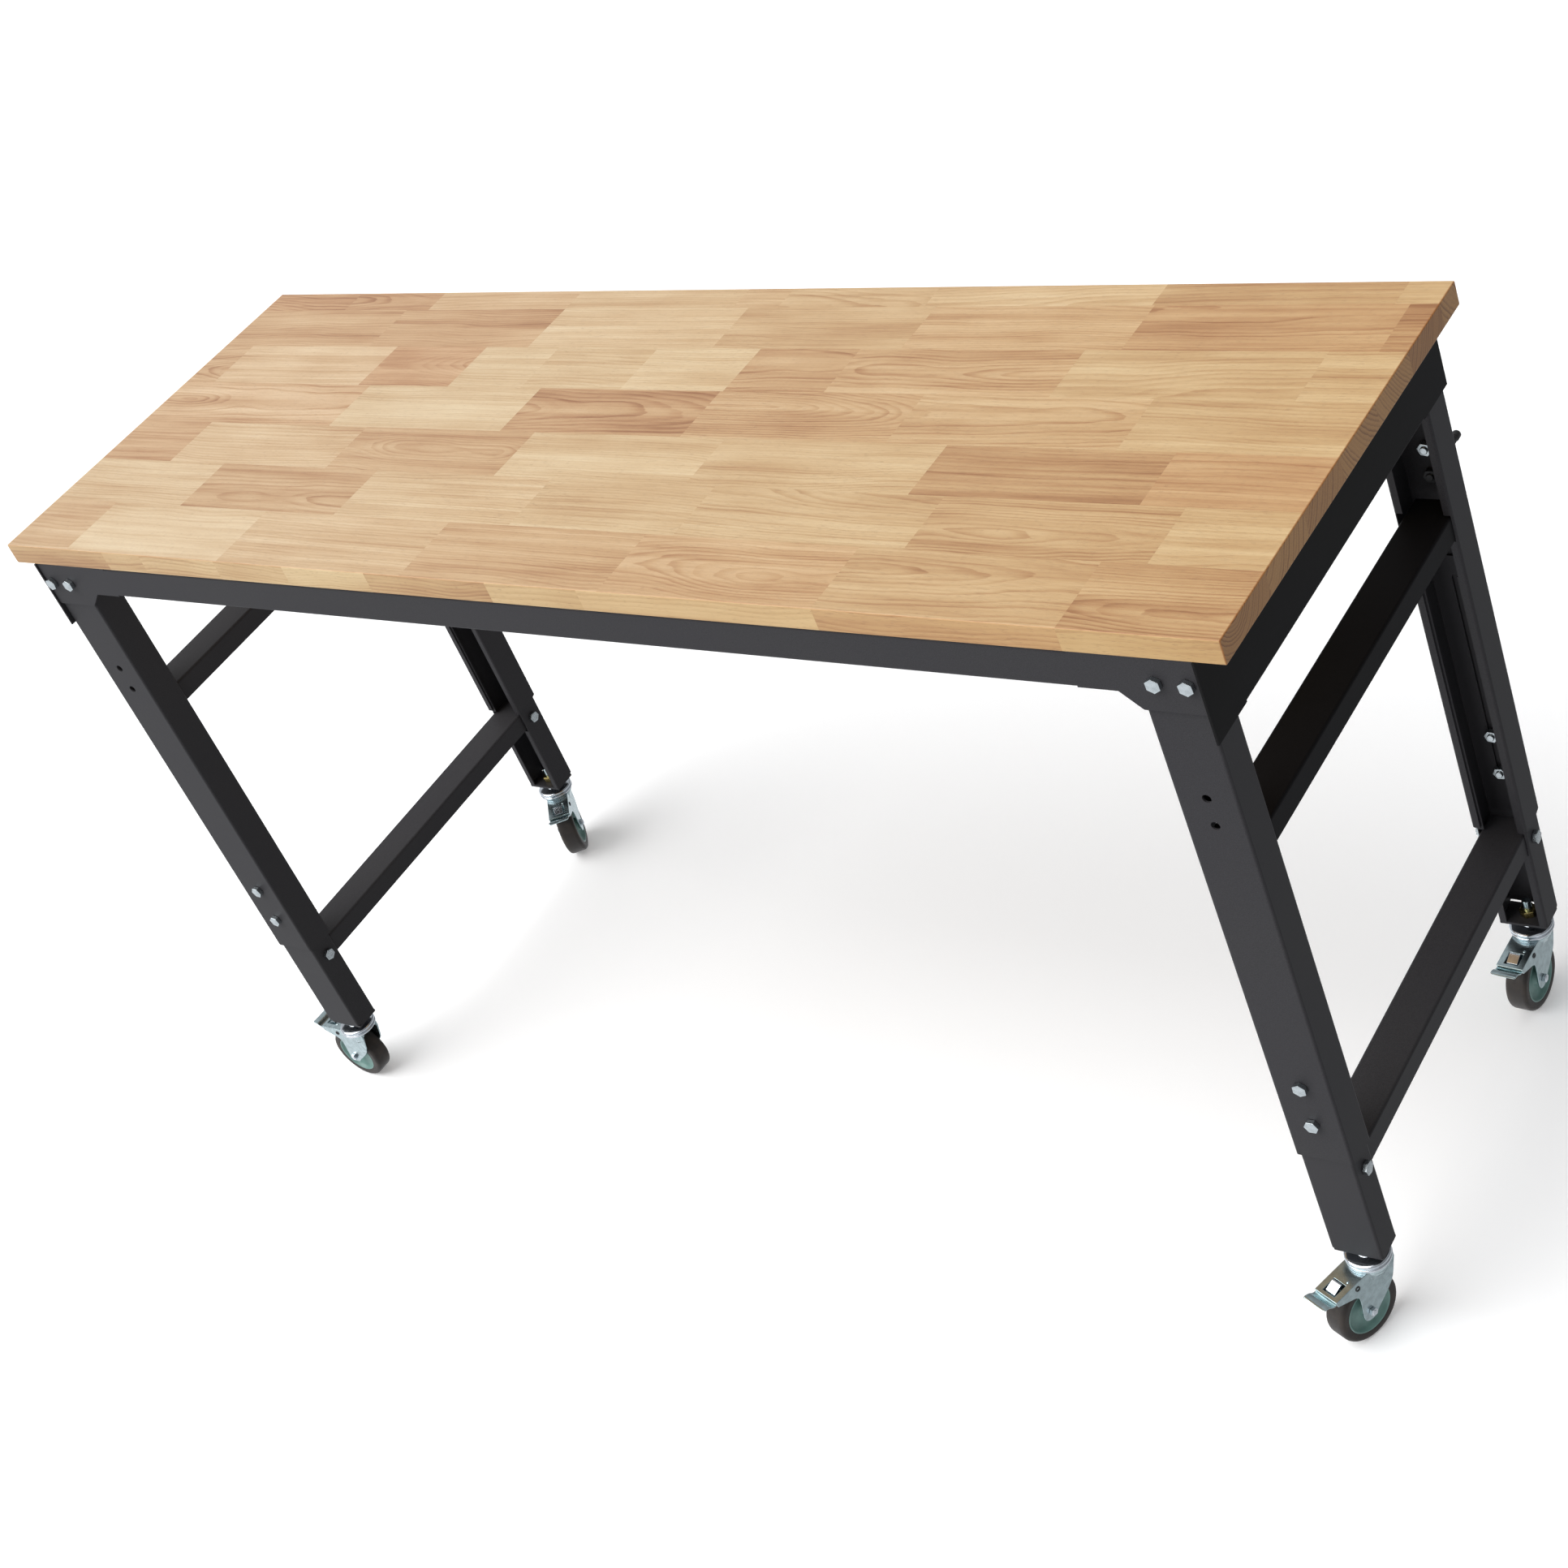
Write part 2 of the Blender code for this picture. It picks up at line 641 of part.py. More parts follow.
# ---- casters -------------------------------------------------------------------------
def stem_mesh():
    """Upper race, kingpin and threaded stem with its nut, about the swivel axis."""
    race_low, race_high = UPPER_RACE_Z
    stem = turned([
        (0.0, STEM_TOP),
        (STEM_RADIUS, STEM_TOP),
        (STEM_RADIUS, MOUNT_PLATE_Z[0] - GAP),
        (COLLAR_RADIUS, MOUNT_PLATE_Z[0] - GAP),
        (COLLAR_RADIUS, race_high),
        (RACE_RADIUS, race_high - SHEET),
        (RACE_RADIUS, race_low),
        (KINGPIN_RADIUS, race_low),
        (KINGPIN_RADIUS, LID_FLAT_Z - FORK_SHEET - GAP),
        (KINGPIN_HEAD_RADIUS, LID_FLAT_Z - FORK_SHEET - GAP),
        (KINGPIN_HEAD_RADIUS, KINGPIN_END),
        (0.0, KINGPIN_END),
    ], RACE_SIDES)
    nut_base = MOUNT_PLATE_Z[1] + GAP
    join(stem, hexagon(STEM_NUT_FLATS, (0, 0, nut_base), (0, 0, nut_base + STEM_NUT_HEIGHT)))
    return settled_mesh(stem, "caster_stem")


def fork_side_outline():
    """Side of the fork in (x, z), +x trailing, down to a rounded tip at the axle."""
    return rounded([
        (-0.0180, LID_FLAT_Z, 0.0),
        (-0.0180, 0.0825, 0.0),
        (-0.0093, 0.0570, 0.004),
        (0.0108, 0.0370, 0.0),
        (0.0190, 0.0280, 0.006),
        (0.0335, 0.0280, 0.006),
        (0.0358, 0.0380, 0.0),
        (0.0338, 0.0620, 0.006),
        (0.0395, 0.0698, 0.003),
        (0.0595, 0.0772, 0.0),
        (LID_END_X, LID_END_Z, 0.0),
        (LID_FLAT_END_X, LID_FLAT_Z, 0.0),
    ])


def across(radius, half_width, x, z, sides=BOLT_SIDES):
    return rod(radius, (x, -half_width, z), (x, half_width, z), sides=sides, name="across")


def fork_mesh():
    """Stamped fork: a sloping lid with a window, two side plates and the lower race."""
    lid = [
        (-0.0180, LID_FLAT_Z),
        (LID_FLAT_END_X, LID_FLAT_Z),
        (LID_END_X, LID_END_Z),
        (LID_END_X, LID_END_Z - FORK_SHEET),
        (LID_FLAT_END_X, LID_FLAT_Z - FORK_SHEET),
        (-0.0180, LID_FLAT_Z - FORK_SHEET),
    ]
    fork = drawn(lid, -FORK_HALF_WIDTH, FORK_HALF_WIDTH, "Y")
    for hand in SIDES.values():
        join(fork, drawn(
            fork_side_outline(), hand * (FORK_HALF_WIDTH - FORK_SHEET), hand * FORK_HALF_WIDTH, "Y"
        ))
    race_low, race_high = LOWER_RACE_Z
    join(fork, rod(RACE_RADIUS, (0, 0, race_low), (0, 0, race_high), sides=RACE_SIDES))
    cut(fork, rod(KINGPIN_RADIUS + SLIDE_GAP, (0, 0, KINGPIN_END), (0, 0, STEM_TOP)))
    past_side = FORK_HALF_WIDTH + FORK_SHEET
    cut(fork, across(AXLE_HOLE_RADIUS, past_side, TRAIL, AXLE_HEIGHT))
    cut(fork, across(PEDAL_PIN_HOLE_RADIUS, past_side, PEDAL_PIVOT_X, PEDAL_PIVOT_Z))
    cut(fork, block(
        (WINDOW_X[0], -WINDOW_HALF_WIDTH, PEDAL_PIVOT_Z),
        (WINDOW_X[1], WINDOW_HALF_WIDTH, STEM_TOP),
        name="window",
    ))
    return settled_mesh(fork, "caster_fork")


def pedal_mesh():
    """Brake pedal about its pivot: plate, shoe, release block, tab and pivot pins."""
    plate = [(0.0225, 0.0795), (0.0225, 0.0810), (0.0635, 0.0810), (0.0635, 0.0795)]
    shoe = [(0.0400, 0.0800), (0.0410, 0.0750), (0.0500, 0.0750), (0.0510, 0.0800)]
    release = [(0.0420, 0.0800), (0.0420, 0.0885), (0.0450, 0.0885), (0.0540, 0.0840), (0.0540, 0.0800)]
    tab = [
        (0.0620, 0.0795), (0.0620, 0.0810), (0.0645, 0.0820), (0.0700, 0.0850),
        (0.0775, 0.0866), (0.0775, 0.0850), (0.0704, 0.0834), (0.0650, 0.0804),
    ]
    pedal = drawn(plate, -PEDAL_HALF_WIDTH, PEDAL_HALF_WIDTH, "Y")
    join(pedal, drawn(shoe, -PEDAL_HALF_WIDTH + SHEET, PEDAL_HALF_WIDTH - SHEET, "Y"))
    join(pedal, drawn(release, -RELEASE_HALF_WIDTH, RELEASE_HALF_WIDTH, "Y"))
    join(pedal, drawn(tab, -PEDAL_TAB_HALF_WIDTH, PEDAL_TAB_HALF_WIDTH, "Y"))
    for hand in SIDES.values():
        join(pedal, rod(
            PEDAL_PIN_RADIUS,
            (PEDAL_PIVOT_X, hand * (PEDAL_HALF_WIDTH - SLIDE_GAP), PEDAL_PIVOT_Z),
            (PEDAL_PIVOT_X, hand * (FORK_HALF_WIDTH + SLIDE_GAP), PEDAL_PIVOT_Z),
        ))
    mesh = settled_mesh(pedal, "brake_pedal")
    mesh.transform(Matrix.Translation((-PEDAL_PIVOT_X, 0.0, -PEDAL_PIVOT_Z)))
    return mesh


def wheel_mesh():
    """Moulded wheel about the Y axis: bored hub, recessed disc, rim and tread."""
    disc = WHEEL_HALF_WIDTH - DISC_RECESS
    half = [
        (AXLE_HOLE_RADIUS, HUB_HALF_LENGTH),
        (HUB_RADIUS, HUB_HALF_LENGTH),
        (HUB_RADIUS + 0.001, disc),
        (RIM_RADIUS - 0.001, disc),
        (RIM_RADIUS, WHEEL_HALF_WIDTH),
        (WHEEL_RADIUS - TREAD_ROUND, WHEEL_HALF_WIDTH),
        (WHEEL_RADIUS, WHEEL_HALF_WIDTH - TREAD_ROUND),
    ]
    ring = half + [(radius, -height) for radius, height in reversed(half)]
    mesh = settled_mesh(turned(ring, WHEEL_SIDES, closed=True), "caster_wheel")
    facet_down = Matrix.Rotation(math.pi / WHEEL_SIDES, 4, "Z")
    mesh.transform(Matrix.Rotation(math.radians(90.0), 4, "X") @ facet_down)
    return mesh


def axle_mesh():
    """Axle bolt and nut about the Y axis, its head towards +Y."""
    face = FORK_HALF_WIDTH + GAP
    end = face + AXLE_HEAD_HEIGHT
    axle = across(AXLE_RADIUS, end - GAP, 0.0, 0.0)
    for hand in SIDES.values():
        join(axle, hexagon(AXLE_FLATS, (0, hand * face, 0), (0, hand * end, 0)))
    return settled_mesh(axle, "wheel_axle")


def build_casters(lower_frames):
    stem, fork, pedal, wheel, axle = stem_mesh(), fork_mesh(), pedal_mesh(), wheel_mesh(), axle_mesh()
    for end, back in ENDS.items():
        for hand, side in SIDES.items():
            corner = f"{end}_{hand}"
            swivel = bpy.data.objects.new(f"swivel_{corner}", None)
            PARTS.objects.link(swivel)
            swivel.location = (side * STEM_X, back * STEM_Y, 0.0)
            swivel.rotation_euler.z = math.radians(CASTER_YAW_DEG[corner])
            swivel.parent = lower_frames[hand]
            pieces = [
                ("caster_stem", stem, (0.0, 0.0, 0.0), ZINC),
                ("caster_fork", fork, (0.0, 0.0, 0.0), ZINC),
                ("brake_pedal", pedal, (PEDAL_PIVOT_X, 0.0, PEDAL_PIVOT_Z), ZINC),
                ("caster_wheel", wheel, (TRAIL, 0.0, AXLE_HEIGHT), TYRE),
                ("wheel_axle", axle, (TRAIL, 0.0, AXLE_HEIGHT), ZINC),
            ]
            for name, mesh, place, material in pieces:
                piece = bpy.data.objects.new(name, mesh.copy())
                bpy.context.scene.collection.objects.link(piece)
                piece.parent = swivel
                piece.location = place
                part(piece, f"{name}_{corner}", material)
    for mesh in (stem, fork, pedal, wheel, axle):
        bpy.data.meshes.remove(mesh)


def main():
    build_worktop()
    for end, back in ENDS.items():
        build_long_rail(end, back)
    for hand, side in SIDES.items():
        build_side_rail(hand, side)
        build_crossbars(hand, side)
        for end, back in ENDS.items():
            build_upper_leg(hand, side, end, back)
            build_lower_leg(hand, side, end, back)
        build_rear_peg(hand, side)
    build_fasteners()
    lower_frames = {}
    for hand in SIDES:
        lower_frames[hand] = bpy.data.objects.new(f"lower_frame_{hand}", None)
        PARTS.objects.link(lower_frames[hand])
    build_casters(lower_frames)
    for hand, frame in lower_frames.items():
        for obj in PARTS.objects:
            if obj.name.startswith(("lower_leg", "lower_crossbar", "crossbar_bolt")):
                if obj.name.endswith(hand):
                    obj.parent = frame
    for obj in PARTS.objects:
        if obj.type == "MESH":
            soften(obj.data)


main()
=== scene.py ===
"""Looks for the rolling workbench: a butcher-block top on a powder-coated frame."""

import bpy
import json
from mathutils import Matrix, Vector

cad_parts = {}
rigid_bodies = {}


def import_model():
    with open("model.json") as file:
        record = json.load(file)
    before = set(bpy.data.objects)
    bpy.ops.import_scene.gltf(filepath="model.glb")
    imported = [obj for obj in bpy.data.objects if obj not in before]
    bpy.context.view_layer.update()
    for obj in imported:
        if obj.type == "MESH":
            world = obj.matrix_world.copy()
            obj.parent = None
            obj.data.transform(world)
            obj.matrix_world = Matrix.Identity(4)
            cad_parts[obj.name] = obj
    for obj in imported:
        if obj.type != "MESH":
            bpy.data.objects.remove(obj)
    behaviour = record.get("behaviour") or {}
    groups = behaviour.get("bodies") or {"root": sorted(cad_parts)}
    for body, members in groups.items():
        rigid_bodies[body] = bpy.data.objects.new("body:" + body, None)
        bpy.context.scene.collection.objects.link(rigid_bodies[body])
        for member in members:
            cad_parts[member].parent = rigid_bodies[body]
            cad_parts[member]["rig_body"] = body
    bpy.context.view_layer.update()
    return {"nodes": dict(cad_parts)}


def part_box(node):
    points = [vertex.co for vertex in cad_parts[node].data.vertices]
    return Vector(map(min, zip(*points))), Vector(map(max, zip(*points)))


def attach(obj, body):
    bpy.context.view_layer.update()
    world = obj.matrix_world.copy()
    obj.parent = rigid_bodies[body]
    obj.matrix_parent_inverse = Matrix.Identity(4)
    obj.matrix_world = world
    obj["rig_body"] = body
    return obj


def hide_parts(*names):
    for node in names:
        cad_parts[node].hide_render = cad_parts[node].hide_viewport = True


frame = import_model()

import json
import math
import random

import bmesh
import bpy
from mathutils import Euler, Matrix, Vector

NODES = frame["nodes"]
CORNERS = [f"{end}_{hand}" for end in ("front", "rear") for hand in ("left", "right")]
WORKTOP_LOW, WORKTOP_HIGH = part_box("worktop")


# ---- node helpers --------------------------------------------------------------------
class NodeTree:
    """Adds nodes to a tree; sockets are passed around as values."""

    def __init__(self, tree):
        self.tree = tree

    def node(self, kind, inputs=None, **settings):
        made = self.tree.nodes.new(kind)
        for key, value in settings.items():
            setattr(made, key, value)
        for key, value in (inputs or {}).items():
            self.feed(made.inputs[key], value)
        return made

    def feed(self, socket, value):
        if isinstance(value, bpy.types.NodeSocket):
            self.tree.links.new(value, socket)
        else:
            socket.default_value = value

    def math(self, operation, a, b=0.0):
        return self.node("ShaderNodeMath", {0: a, 1: b}, operation=operation).outputs[0]

    def add(self, first, *others):
        for other in others:
            first = self.math("ADD", first, other)
        return first

    def times(self, a, b):
        return self.math("MULTIPLY", a, b)

    def minus(self, a, b):
        return self.math("SUBTRACT", a, b)

    def swing(self, value, amount):
        """A value of 0 to 1 as a change of half the amount down or up."""
        return self.times(self.minus(value, 0.5), amount)

    def combine(self, x, y, z):
        return self.node("ShaderNodeCombineXYZ", {0: x, 1: y, 2: z}).outputs[0]

    def split(self, vector):
        return self.node("ShaderNodeSeparateXYZ", {0: vector}).outputs

    def split_color(self, color):
        return self.node("ShaderNodeSeparateColor", {0: color}).outputs[:3]

    def spread(self, value, low, high, to_low=0.0, to_high=1.0, smooth=False):
        made = self.node(
            "ShaderNodeMapRange", {0: value, 1: low, 2: high, 3: to_low, 4: to_high},
            interpolation_type="SMOOTHSTEP" if smooth else "LINEAR")
        return made.outputs[0]

    def band(self, value, rise, fall):
        """1 between the rise and the fall, each a (start, end) pair, and 0 outside them."""
        return self.times(self.spread(value, *rise, smooth=True),
                          self.spread(value, *fall, 1.0, 0.0, smooth=True))


class Shader(NodeTree):
    """Builds one material."""

    def __init__(self, name):
        self.material = bpy.data.materials.new(name)
        self.material.use_nodes = True
        super().__init__(self.material.node_tree)
        self.tree.nodes.clear()
        self.out = self.node("ShaderNodeOutputMaterial")

    def point(self):
        """The point on the object, in metres."""
        return self.node("ShaderNodeTexCoord").outputs["Object"]

    def facts(self, layer):
        """The three numbers that a face carries in one of its layers."""
        made = self.node("ShaderNodeAttribute", attribute_name=layer)
        return self.split_color(made.outputs["Color"])

    def noise(self, vector, scale=1.0, detail=2.0, roughness=0.5, color=False):
        made = self.node(
            "ShaderNodeTexNoise",
            {"Vector": vector, "Scale": scale, "Detail": detail, "Roughness": roughness})
        return made.outputs["Color" if color else "Fac"]

    def mix(self, factor, a, b, blend="MIX"):
        made = self.node("ShaderNodeMix", data_type="RGBA", blend_type=blend)
        self.feed(made.inputs[0], factor)
        for socket, value in ((made.inputs[6], a), (made.inputs[7], b)):
            if isinstance(value, tuple) and len(value) == 3:
                value = (*value, 1.0)
            self.feed(socket, value)
        return made.outputs[2]

    def tinted(self, factor, color, tint):
        """The colour, multiplied by the tint as far as the factor says."""
        return self.mix(factor, color, self.mix(1.0, color, tint, "MULTIPLY"))

    def ramp(self, value, *stops):
        made = self.node("ShaderNodeValToRGB", {0: value})
        while len(made.color_ramp.elements) < len(stops):
            made.color_ramp.elements.new(0.5)
        for element, (position, color) in zip(made.color_ramp.elements, stops):
            element.position = position
            element.color = (*color, 1.0)
        return made.outputs[0]

    def bump(self, height, distance, strength=1.0):
        inputs = {"Height": height, "Distance": distance, "Strength": strength}
        return self.node("ShaderNodeBump", inputs).outputs[0]

    def surface(self, color, **inputs):
        """Ends the material; an input's name has _ where the socket's has a space."""
        if isinstance(color, tuple):
            color = (*color, 1.0)
        named = {key.replace("_", " "): value for key, value in inputs.items()}
        shader = self.node("ShaderNodeBsdfPrincipled", {"Base Color": color, **named})
        self.tree.links.new(shader.outputs[0], self.out.inputs[0])
        return self.material


def srgb(red, green, blue):
    """A display colour, 0 to 255, as linear light."""
    def linear(value):
        value /= 255.0
        return value / 12.92 if value <= 0.04045 else ((value + 0.055) / 1.055) ** 2.4
    return tuple(linear(value) for value in (red, green, blue))


# ---- wood ----------------------------------------------------------------------------
RINGS_PER_METRE = (180.0, 340.0)
# a stave's middle is stored as a colour, so it is shifted to stay above zero
MIDDLE_SHIFT = 1.0


def grain(s, place, along, across, down, **more):
    """Noise drawn out along the stave; the numbers say how often it changes each way."""
    x, y, z = place
    return s.noise(s.combine(s.times(x, along), s.times(y, across), s.times(z, down)), **more)


def late_wood(s, place, far_place, seeds, figure):
    """The dark part of each growth ring, where the stave cuts a wandering trunk."""
    x, y, z = place
    seed_a, seed_b, seed_c = seeds
    middle_x, middle_y, _ = s.facts("middle")
    along = s.minus(x, s.minus(middle_x, MIDDLE_SHIFT))
    across = s.minus(y, s.minus(middle_y, MIDDLE_SHIFT))

    # slow wander of the trunk's axis along the stave
    wander = s.split_color(grain(s, far_place, 5.0, 6.0, 1.0, detail=1.5, color=True))
    sway = s.swing(wander[0], 0.022)
    heave = s.swing(wander[1], s.spread(figure, 0.0, 1.0, 0.010, 0.048))

    # straight staves lie off to one side of the heart, figured ones over it and tilted
    side = s.math("SIGN", s.minus(seed_b, 0.5))
    aside = s.times(side, s.spread(figure, 0.0, 0.8, 0.13, 0.0))
    across = s.add(across, s.add(aside, s.swing(seed_b, 0.035)), sway)
    tilt = s.swing(seed_c, s.times(figure, 0.20))
    depth = s.add(s.spread(figure, 0.0, 1.0, 0.07, 0.014), s.minus(WORKTOP_HIGH.z, z),
                  s.times(along, tilt), heave)
    radius = s.math("SQRT", s.add(s.times(across, across), s.times(depth, depth)))

    ruffle = grain(s, far_place, 14.0, 110.0, 1.0, detail=3.0)
    rings = s.times(radius, s.spread(seed_a, 0.0, 1.0, *RINGS_PER_METRE))
    rings = s.add(rings, s.times(ruffle, 0.9))
    late = s.band(s.math("FRACT", rings), (0.30, 0.92), (0.94, 1.0))
    # some years left a stronger line than others
    year = s.noise(s.combine(s.math("FLOOR", rings), seed_a, seed_b), scale=1.7, detail=0.0)
    return s.times(late, s.spread(year, 0.35, 0.65, 0.15, 1.0))


def butcher_block():
    """Rubberwood: every stave has its own tone, ring centre and tilt."""
    s = Shader("wood")
    x, y, z = s.split(s.point())
    seeds = s.facts("stave")
    tone, figure, warmth = s.facts("look")
    # a far offset for each stave, so that no two share grain
    far_place = [s.add(value, s.times(seed, reach))
                 for value, seed, reach in zip((x, y, z), seeds, (37.0, 19.0, 11.0))]
    late = late_wood(s, (x, y, z), far_place, seeds, figure)

    # long colour streaks, soft clouds, fibres and pores
    streak = grain(s, far_place, 2.2, 55.0, 20.0, detail=3.0, roughness=0.6)
    stripe = grain(s, far_place, 1.3, 170.0, 60.0, roughness=0.6)
    cloud = grain(s, far_place, 1.0, 3.0, 1.0, scale=9.0)
    fibre = grain(s, far_place, 28.0, 1500.0, 900.0)
    pore = grain(s, far_place, 130.0, 2600.0, 1500.0, detail=0.0)
    pore = s.spread(pore, 0.66, 0.74, smooth=True)

    shade = s.add(
        s.spread(tone, 0.0, 1.0, 0.12, 0.82), s.swing(streak, 0.95), s.swing(stripe, 0.55),
        s.swing(cloud, 0.45), s.swing(fibre, 0.22),
        s.times(late, s.spread(figure, 0.0, 1.0, 0.16, 0.30)))
    color = s.ramp(shade,
                   (0.0, srgb(226, 207, 173)), (0.25, srgb(215, 191, 154)),
                   (0.5, srgb(202, 173, 134)), (0.75, srgb(185, 149, 111)),
                   (1.0, srgb(156, 115, 81)))
    color = s.tinted(s.times(warmth, 0.55), color, srgb(255, 226, 222))
    color = s.mix(s.times(pore, 0.24), color, srgb(132, 88, 58))
    # painted shade: warmer and darker towards the right-hand end, copying how the light fell on it
    color = s.tinted(s.spread(x, -0.35, 0.76, 0.0, 0.85), color, srgb(242, 229, 203))

    # sawn ends drink the oil and read darker, with the rings across them
    normal = s.split(s.node("ShaderNodeNewGeometry").outputs["Normal"])
    sideways = s.math("ABSOLUTE", normal[0])
    frontways = s.math("ABSOLUTE", normal[1])
    speckle = grain(s, far_place, 10.0, 1.0, 1.0, scale=900.0, detail=1.0)
    end_color = s.mix(tone, srgb(210, 161, 99), srgb(174, 122, 68))
    end_color = s.mix(s.times(s.add(late, speckle), 0.55), end_color, srgb(128, 80, 38))
    color = s.mix(s.spread(sideways, 0.55, 0.9, smooth=True), color, end_color)
    # a darker orange line along the eased edges, strongest at the ends
    for lean, amount in ((sideways, 0.6), (frontways, 0.2)):
        eased = s.band(lean, (0.12, 0.40), (0.75, 0.98))
        color = s.mix(s.times(eased, amount), color, srgb(176, 108, 52))
    # the long edges are a little yellower than the top
    color = s.tinted(s.spread(frontways, 0.6, 0.9), color, srgb(255, 249, 232))

    return s.surface(
        color, Roughness=s.add(0.40, s.times(fibre, 0.16)), Specular_IOR_Level=0.45,
        Coat_Weight=0.12, Coat_Roughness=0.30,
        Normal=s.bump(s.minus(s.times(fibre, 0.35), pore), 0.00006))


# ---- metals, rubber and plastic ------------------------------------------------------
def powder_coat(name, dark, light, gloss):
    """Fine speckled texture paint with a slight orange peel."""
    s = Shader(name)
    point = s.point()
    fine = s.noise(point, scale=1500.0, roughness=0.6)
    orange_peel = s.noise(point, scale=420.0, detail=1.0)
    patch = s.noise(point, scale=5.0, detail=3.0)
    color = s.mix(s.spread(fine, 0.30, 0.72), dark, light)
    # faint purple-grey patches at random: partly the paint's own tone, partly a painted bluish
    # sheen
    color = s.mix(s.spread(patch, 0.3, 0.7, 0.0, 0.2), color, srgb(46, 44, 52))
    return s.surface(
        color, Roughness=s.spread(fine, 0.3, 0.7, 0.40, 0.54), Specular_IOR_Level=gloss,
        Normal=s.bump(s.add(s.times(orange_peel, 0.7), fine), 0.00005))


def plated(name, tint, rough):
    """Bare or plated metal with faint smears."""
    s = Shader(name)
    point = s.point()
    smear = s.noise(point, scale=140.0, detail=3.0)
    spangle = s.noise(point, scale=900.0, detail=1.0)
    dull = tuple(0.76 * part for part in tint)
    return s.surface(
        s.mix(s.spread(smear, 0.35, 0.7), tint, dull), Metallic=1.0,
        Roughness=s.spread(spangle, 0.3, 0.7, rough - 0.03, rough + 0.05),
        Normal=s.bump(smear, 0.00003, 0.4))


def black_steel():
    """Blackened steel, also used for the fork's rivet rings and the brake shoe."""
    s = Shader("blackened_steel")
    fine = s.noise(s.point(), scale=1200.0)
    return s.surface(
        s.mix(fine, (0.010, 0.010, 0.011), (0.030, 0.030, 0.031)),
        Roughness=s.spread(fine, 0.3, 0.7, 0.32, 0.5), Normal=s.bump(fine, 0.00004))


def tread_rubber():
    s = Shader("tread_rubber")
    point = s.point()
    fine = s.noise(point, scale=700.0)
    worn = s.noise(point, scale=60.0, detail=3.0)
    color = s.mix(fine, srgb(44, 40, 38), srgb(58, 53, 49))
    color = s.mix(s.spread(worn, 0.45, 0.7, 0.0, 0.5), color, srgb(78, 68, 60))
    return s.surface(color, Roughness=s.spread(fine, 0.3, 0.7, 0.42, 0.60),
                     Specular_IOR_Level=0.35, Normal=s.bump(fine, 0.00005))


def moulded_core():
    s = Shader("teal_grey_plastic")
    point = s.point()
    fine = s.noise(point, scale=500.0)
    patch = s.noise(point, scale=45.0)
    color = s.mix(s.spread(patch, 0.35, 0.65), srgb(104, 140, 133), srgb(126, 162, 154))
    return s.surface(color, Roughness=s.spread(fine, 0.3, 0.7, 0.30, 0.44),
                     Normal=s.bump(fine, 0.00003))


WOOD = butcher_block()
COAT = powder_coat("charcoal_powder_coat", srgb(47, 46, 47), srgb(65, 64, 66), 0.12)
# a darker copy of the same coat: painted shade for the right side rail and right mid crossbar,
# which sit in shadow
PAINTED_SHADE_COAT = powder_coat("powder_coat_painted_shade", srgb(20, 20, 19), srgb(32, 32, 31), 0.04)
ZINC = plated("zinc_plate", (0.56, 0.61, 0.63), 0.25)
CASTER_STEEL = plated("caster_zinc", (0.51, 0.62, 0.64), 0.22)
BRIGHT_STEEL = plated("race_steel", (0.74, 0.79, 0.84), 0.16)
YELLOW_STEEL = plated("yellow_passivated_steel", (0.62, 0.50, 0.20), 0.25)
BLACK = black_steel()
RUBBER = tread_rubber()
CORE = moulded_core()

# the CAD nodes that no piece below stands for are shown as they are, in this coat; the right side
# rail and the right mid crossbar take a darker copy of it, which is painted shade
for name, node in NODES.items():
    in_painted_shade = name in ("side_rail_right", "mid_crossbar_right")
    node.data.materials.clear()
    node.data.materials.append(PAINTED_SHADE_COAT if in_painted_shade else COAT)


# ---- building pieces -----------------------------------------------------------------
def shown(name, mesh):
    made = bpy.data.objects.new(name, mesh)
    bpy.context.scene.collection.objects.link(made)
    return made


def piece(name, mesh, material, body, place=None, stands_for=(), slot=None, bevel=0.0,
          steps=2, sharp=32, thickness=0.0):
    """Shows a mesh as one piece riding on a body; bevel and thickness are in metres, and
    edges that turn by more than sharp degrees are bevelled."""
    made = shown(name, mesh)
    mesh.materials.append(material)
    mesh.shade_smooth()
    if place is not None:
        made.matrix_world = place
    if thickness:
        shell = made.modifiers.new("sheet", "SOLIDIFY")
        shell.thickness = thickness
        shell.offset = -1.0
        shell.use_even_offset = True
    if bevel:
        edge = made.modifiers.new("edges", "BEVEL")
        edge.width = bevel
        edge.segments = steps
        edge.limit_method = "ANGLE"
        edge.angle_limit = math.radians(sharp)
        edge.harden_normals = True
    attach(made, body)
    if stands_for:
        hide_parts(*stands_for)


def mesh_from(name, verts, faces):
    """A mesh with coinciding vertices joined and the faces turned the same way out."""
    mesh = bpy.data.meshes.new(name)
    mesh.from_pydata(verts, [], faces)
    bm = bmesh.new()
    bm.from_mesh(mesh)
    bmesh.ops.remove_doubles(bm, verts=bm.verts, dist=1e-7)
    bmesh.ops.recalc_face_normals(bm, faces=bm.faces)
    bm.to_mesh(mesh)
    bm.free()
    return mesh


def gathered(name, *solids):
    """Several closed solids, each (verts, faces), as one mesh."""
    verts, faces = [], []
    for more_verts, more_faces in solids:
        base = len(verts)
        verts += more_verts
        faces += [tuple(base + k for k in face) for face in more_faces]
    return mesh_from(name, verts, faces)


def ring_points(radius, height, sides):
    turns = [2 * math.pi * k / sides for k in range(sides)]
    return [(radius * math.cos(turn), radius * math.sin(turn), height) for turn in turns]


def grid_faces(rows, columns):
    """Quads between neighbours, for vertices listed row by row."""
    return [(a, a + columns, a + columns + 1, a + 1)
            for row in range(rows - 1)
            for a in range(row * columns, (row + 1) * columns - 1)]


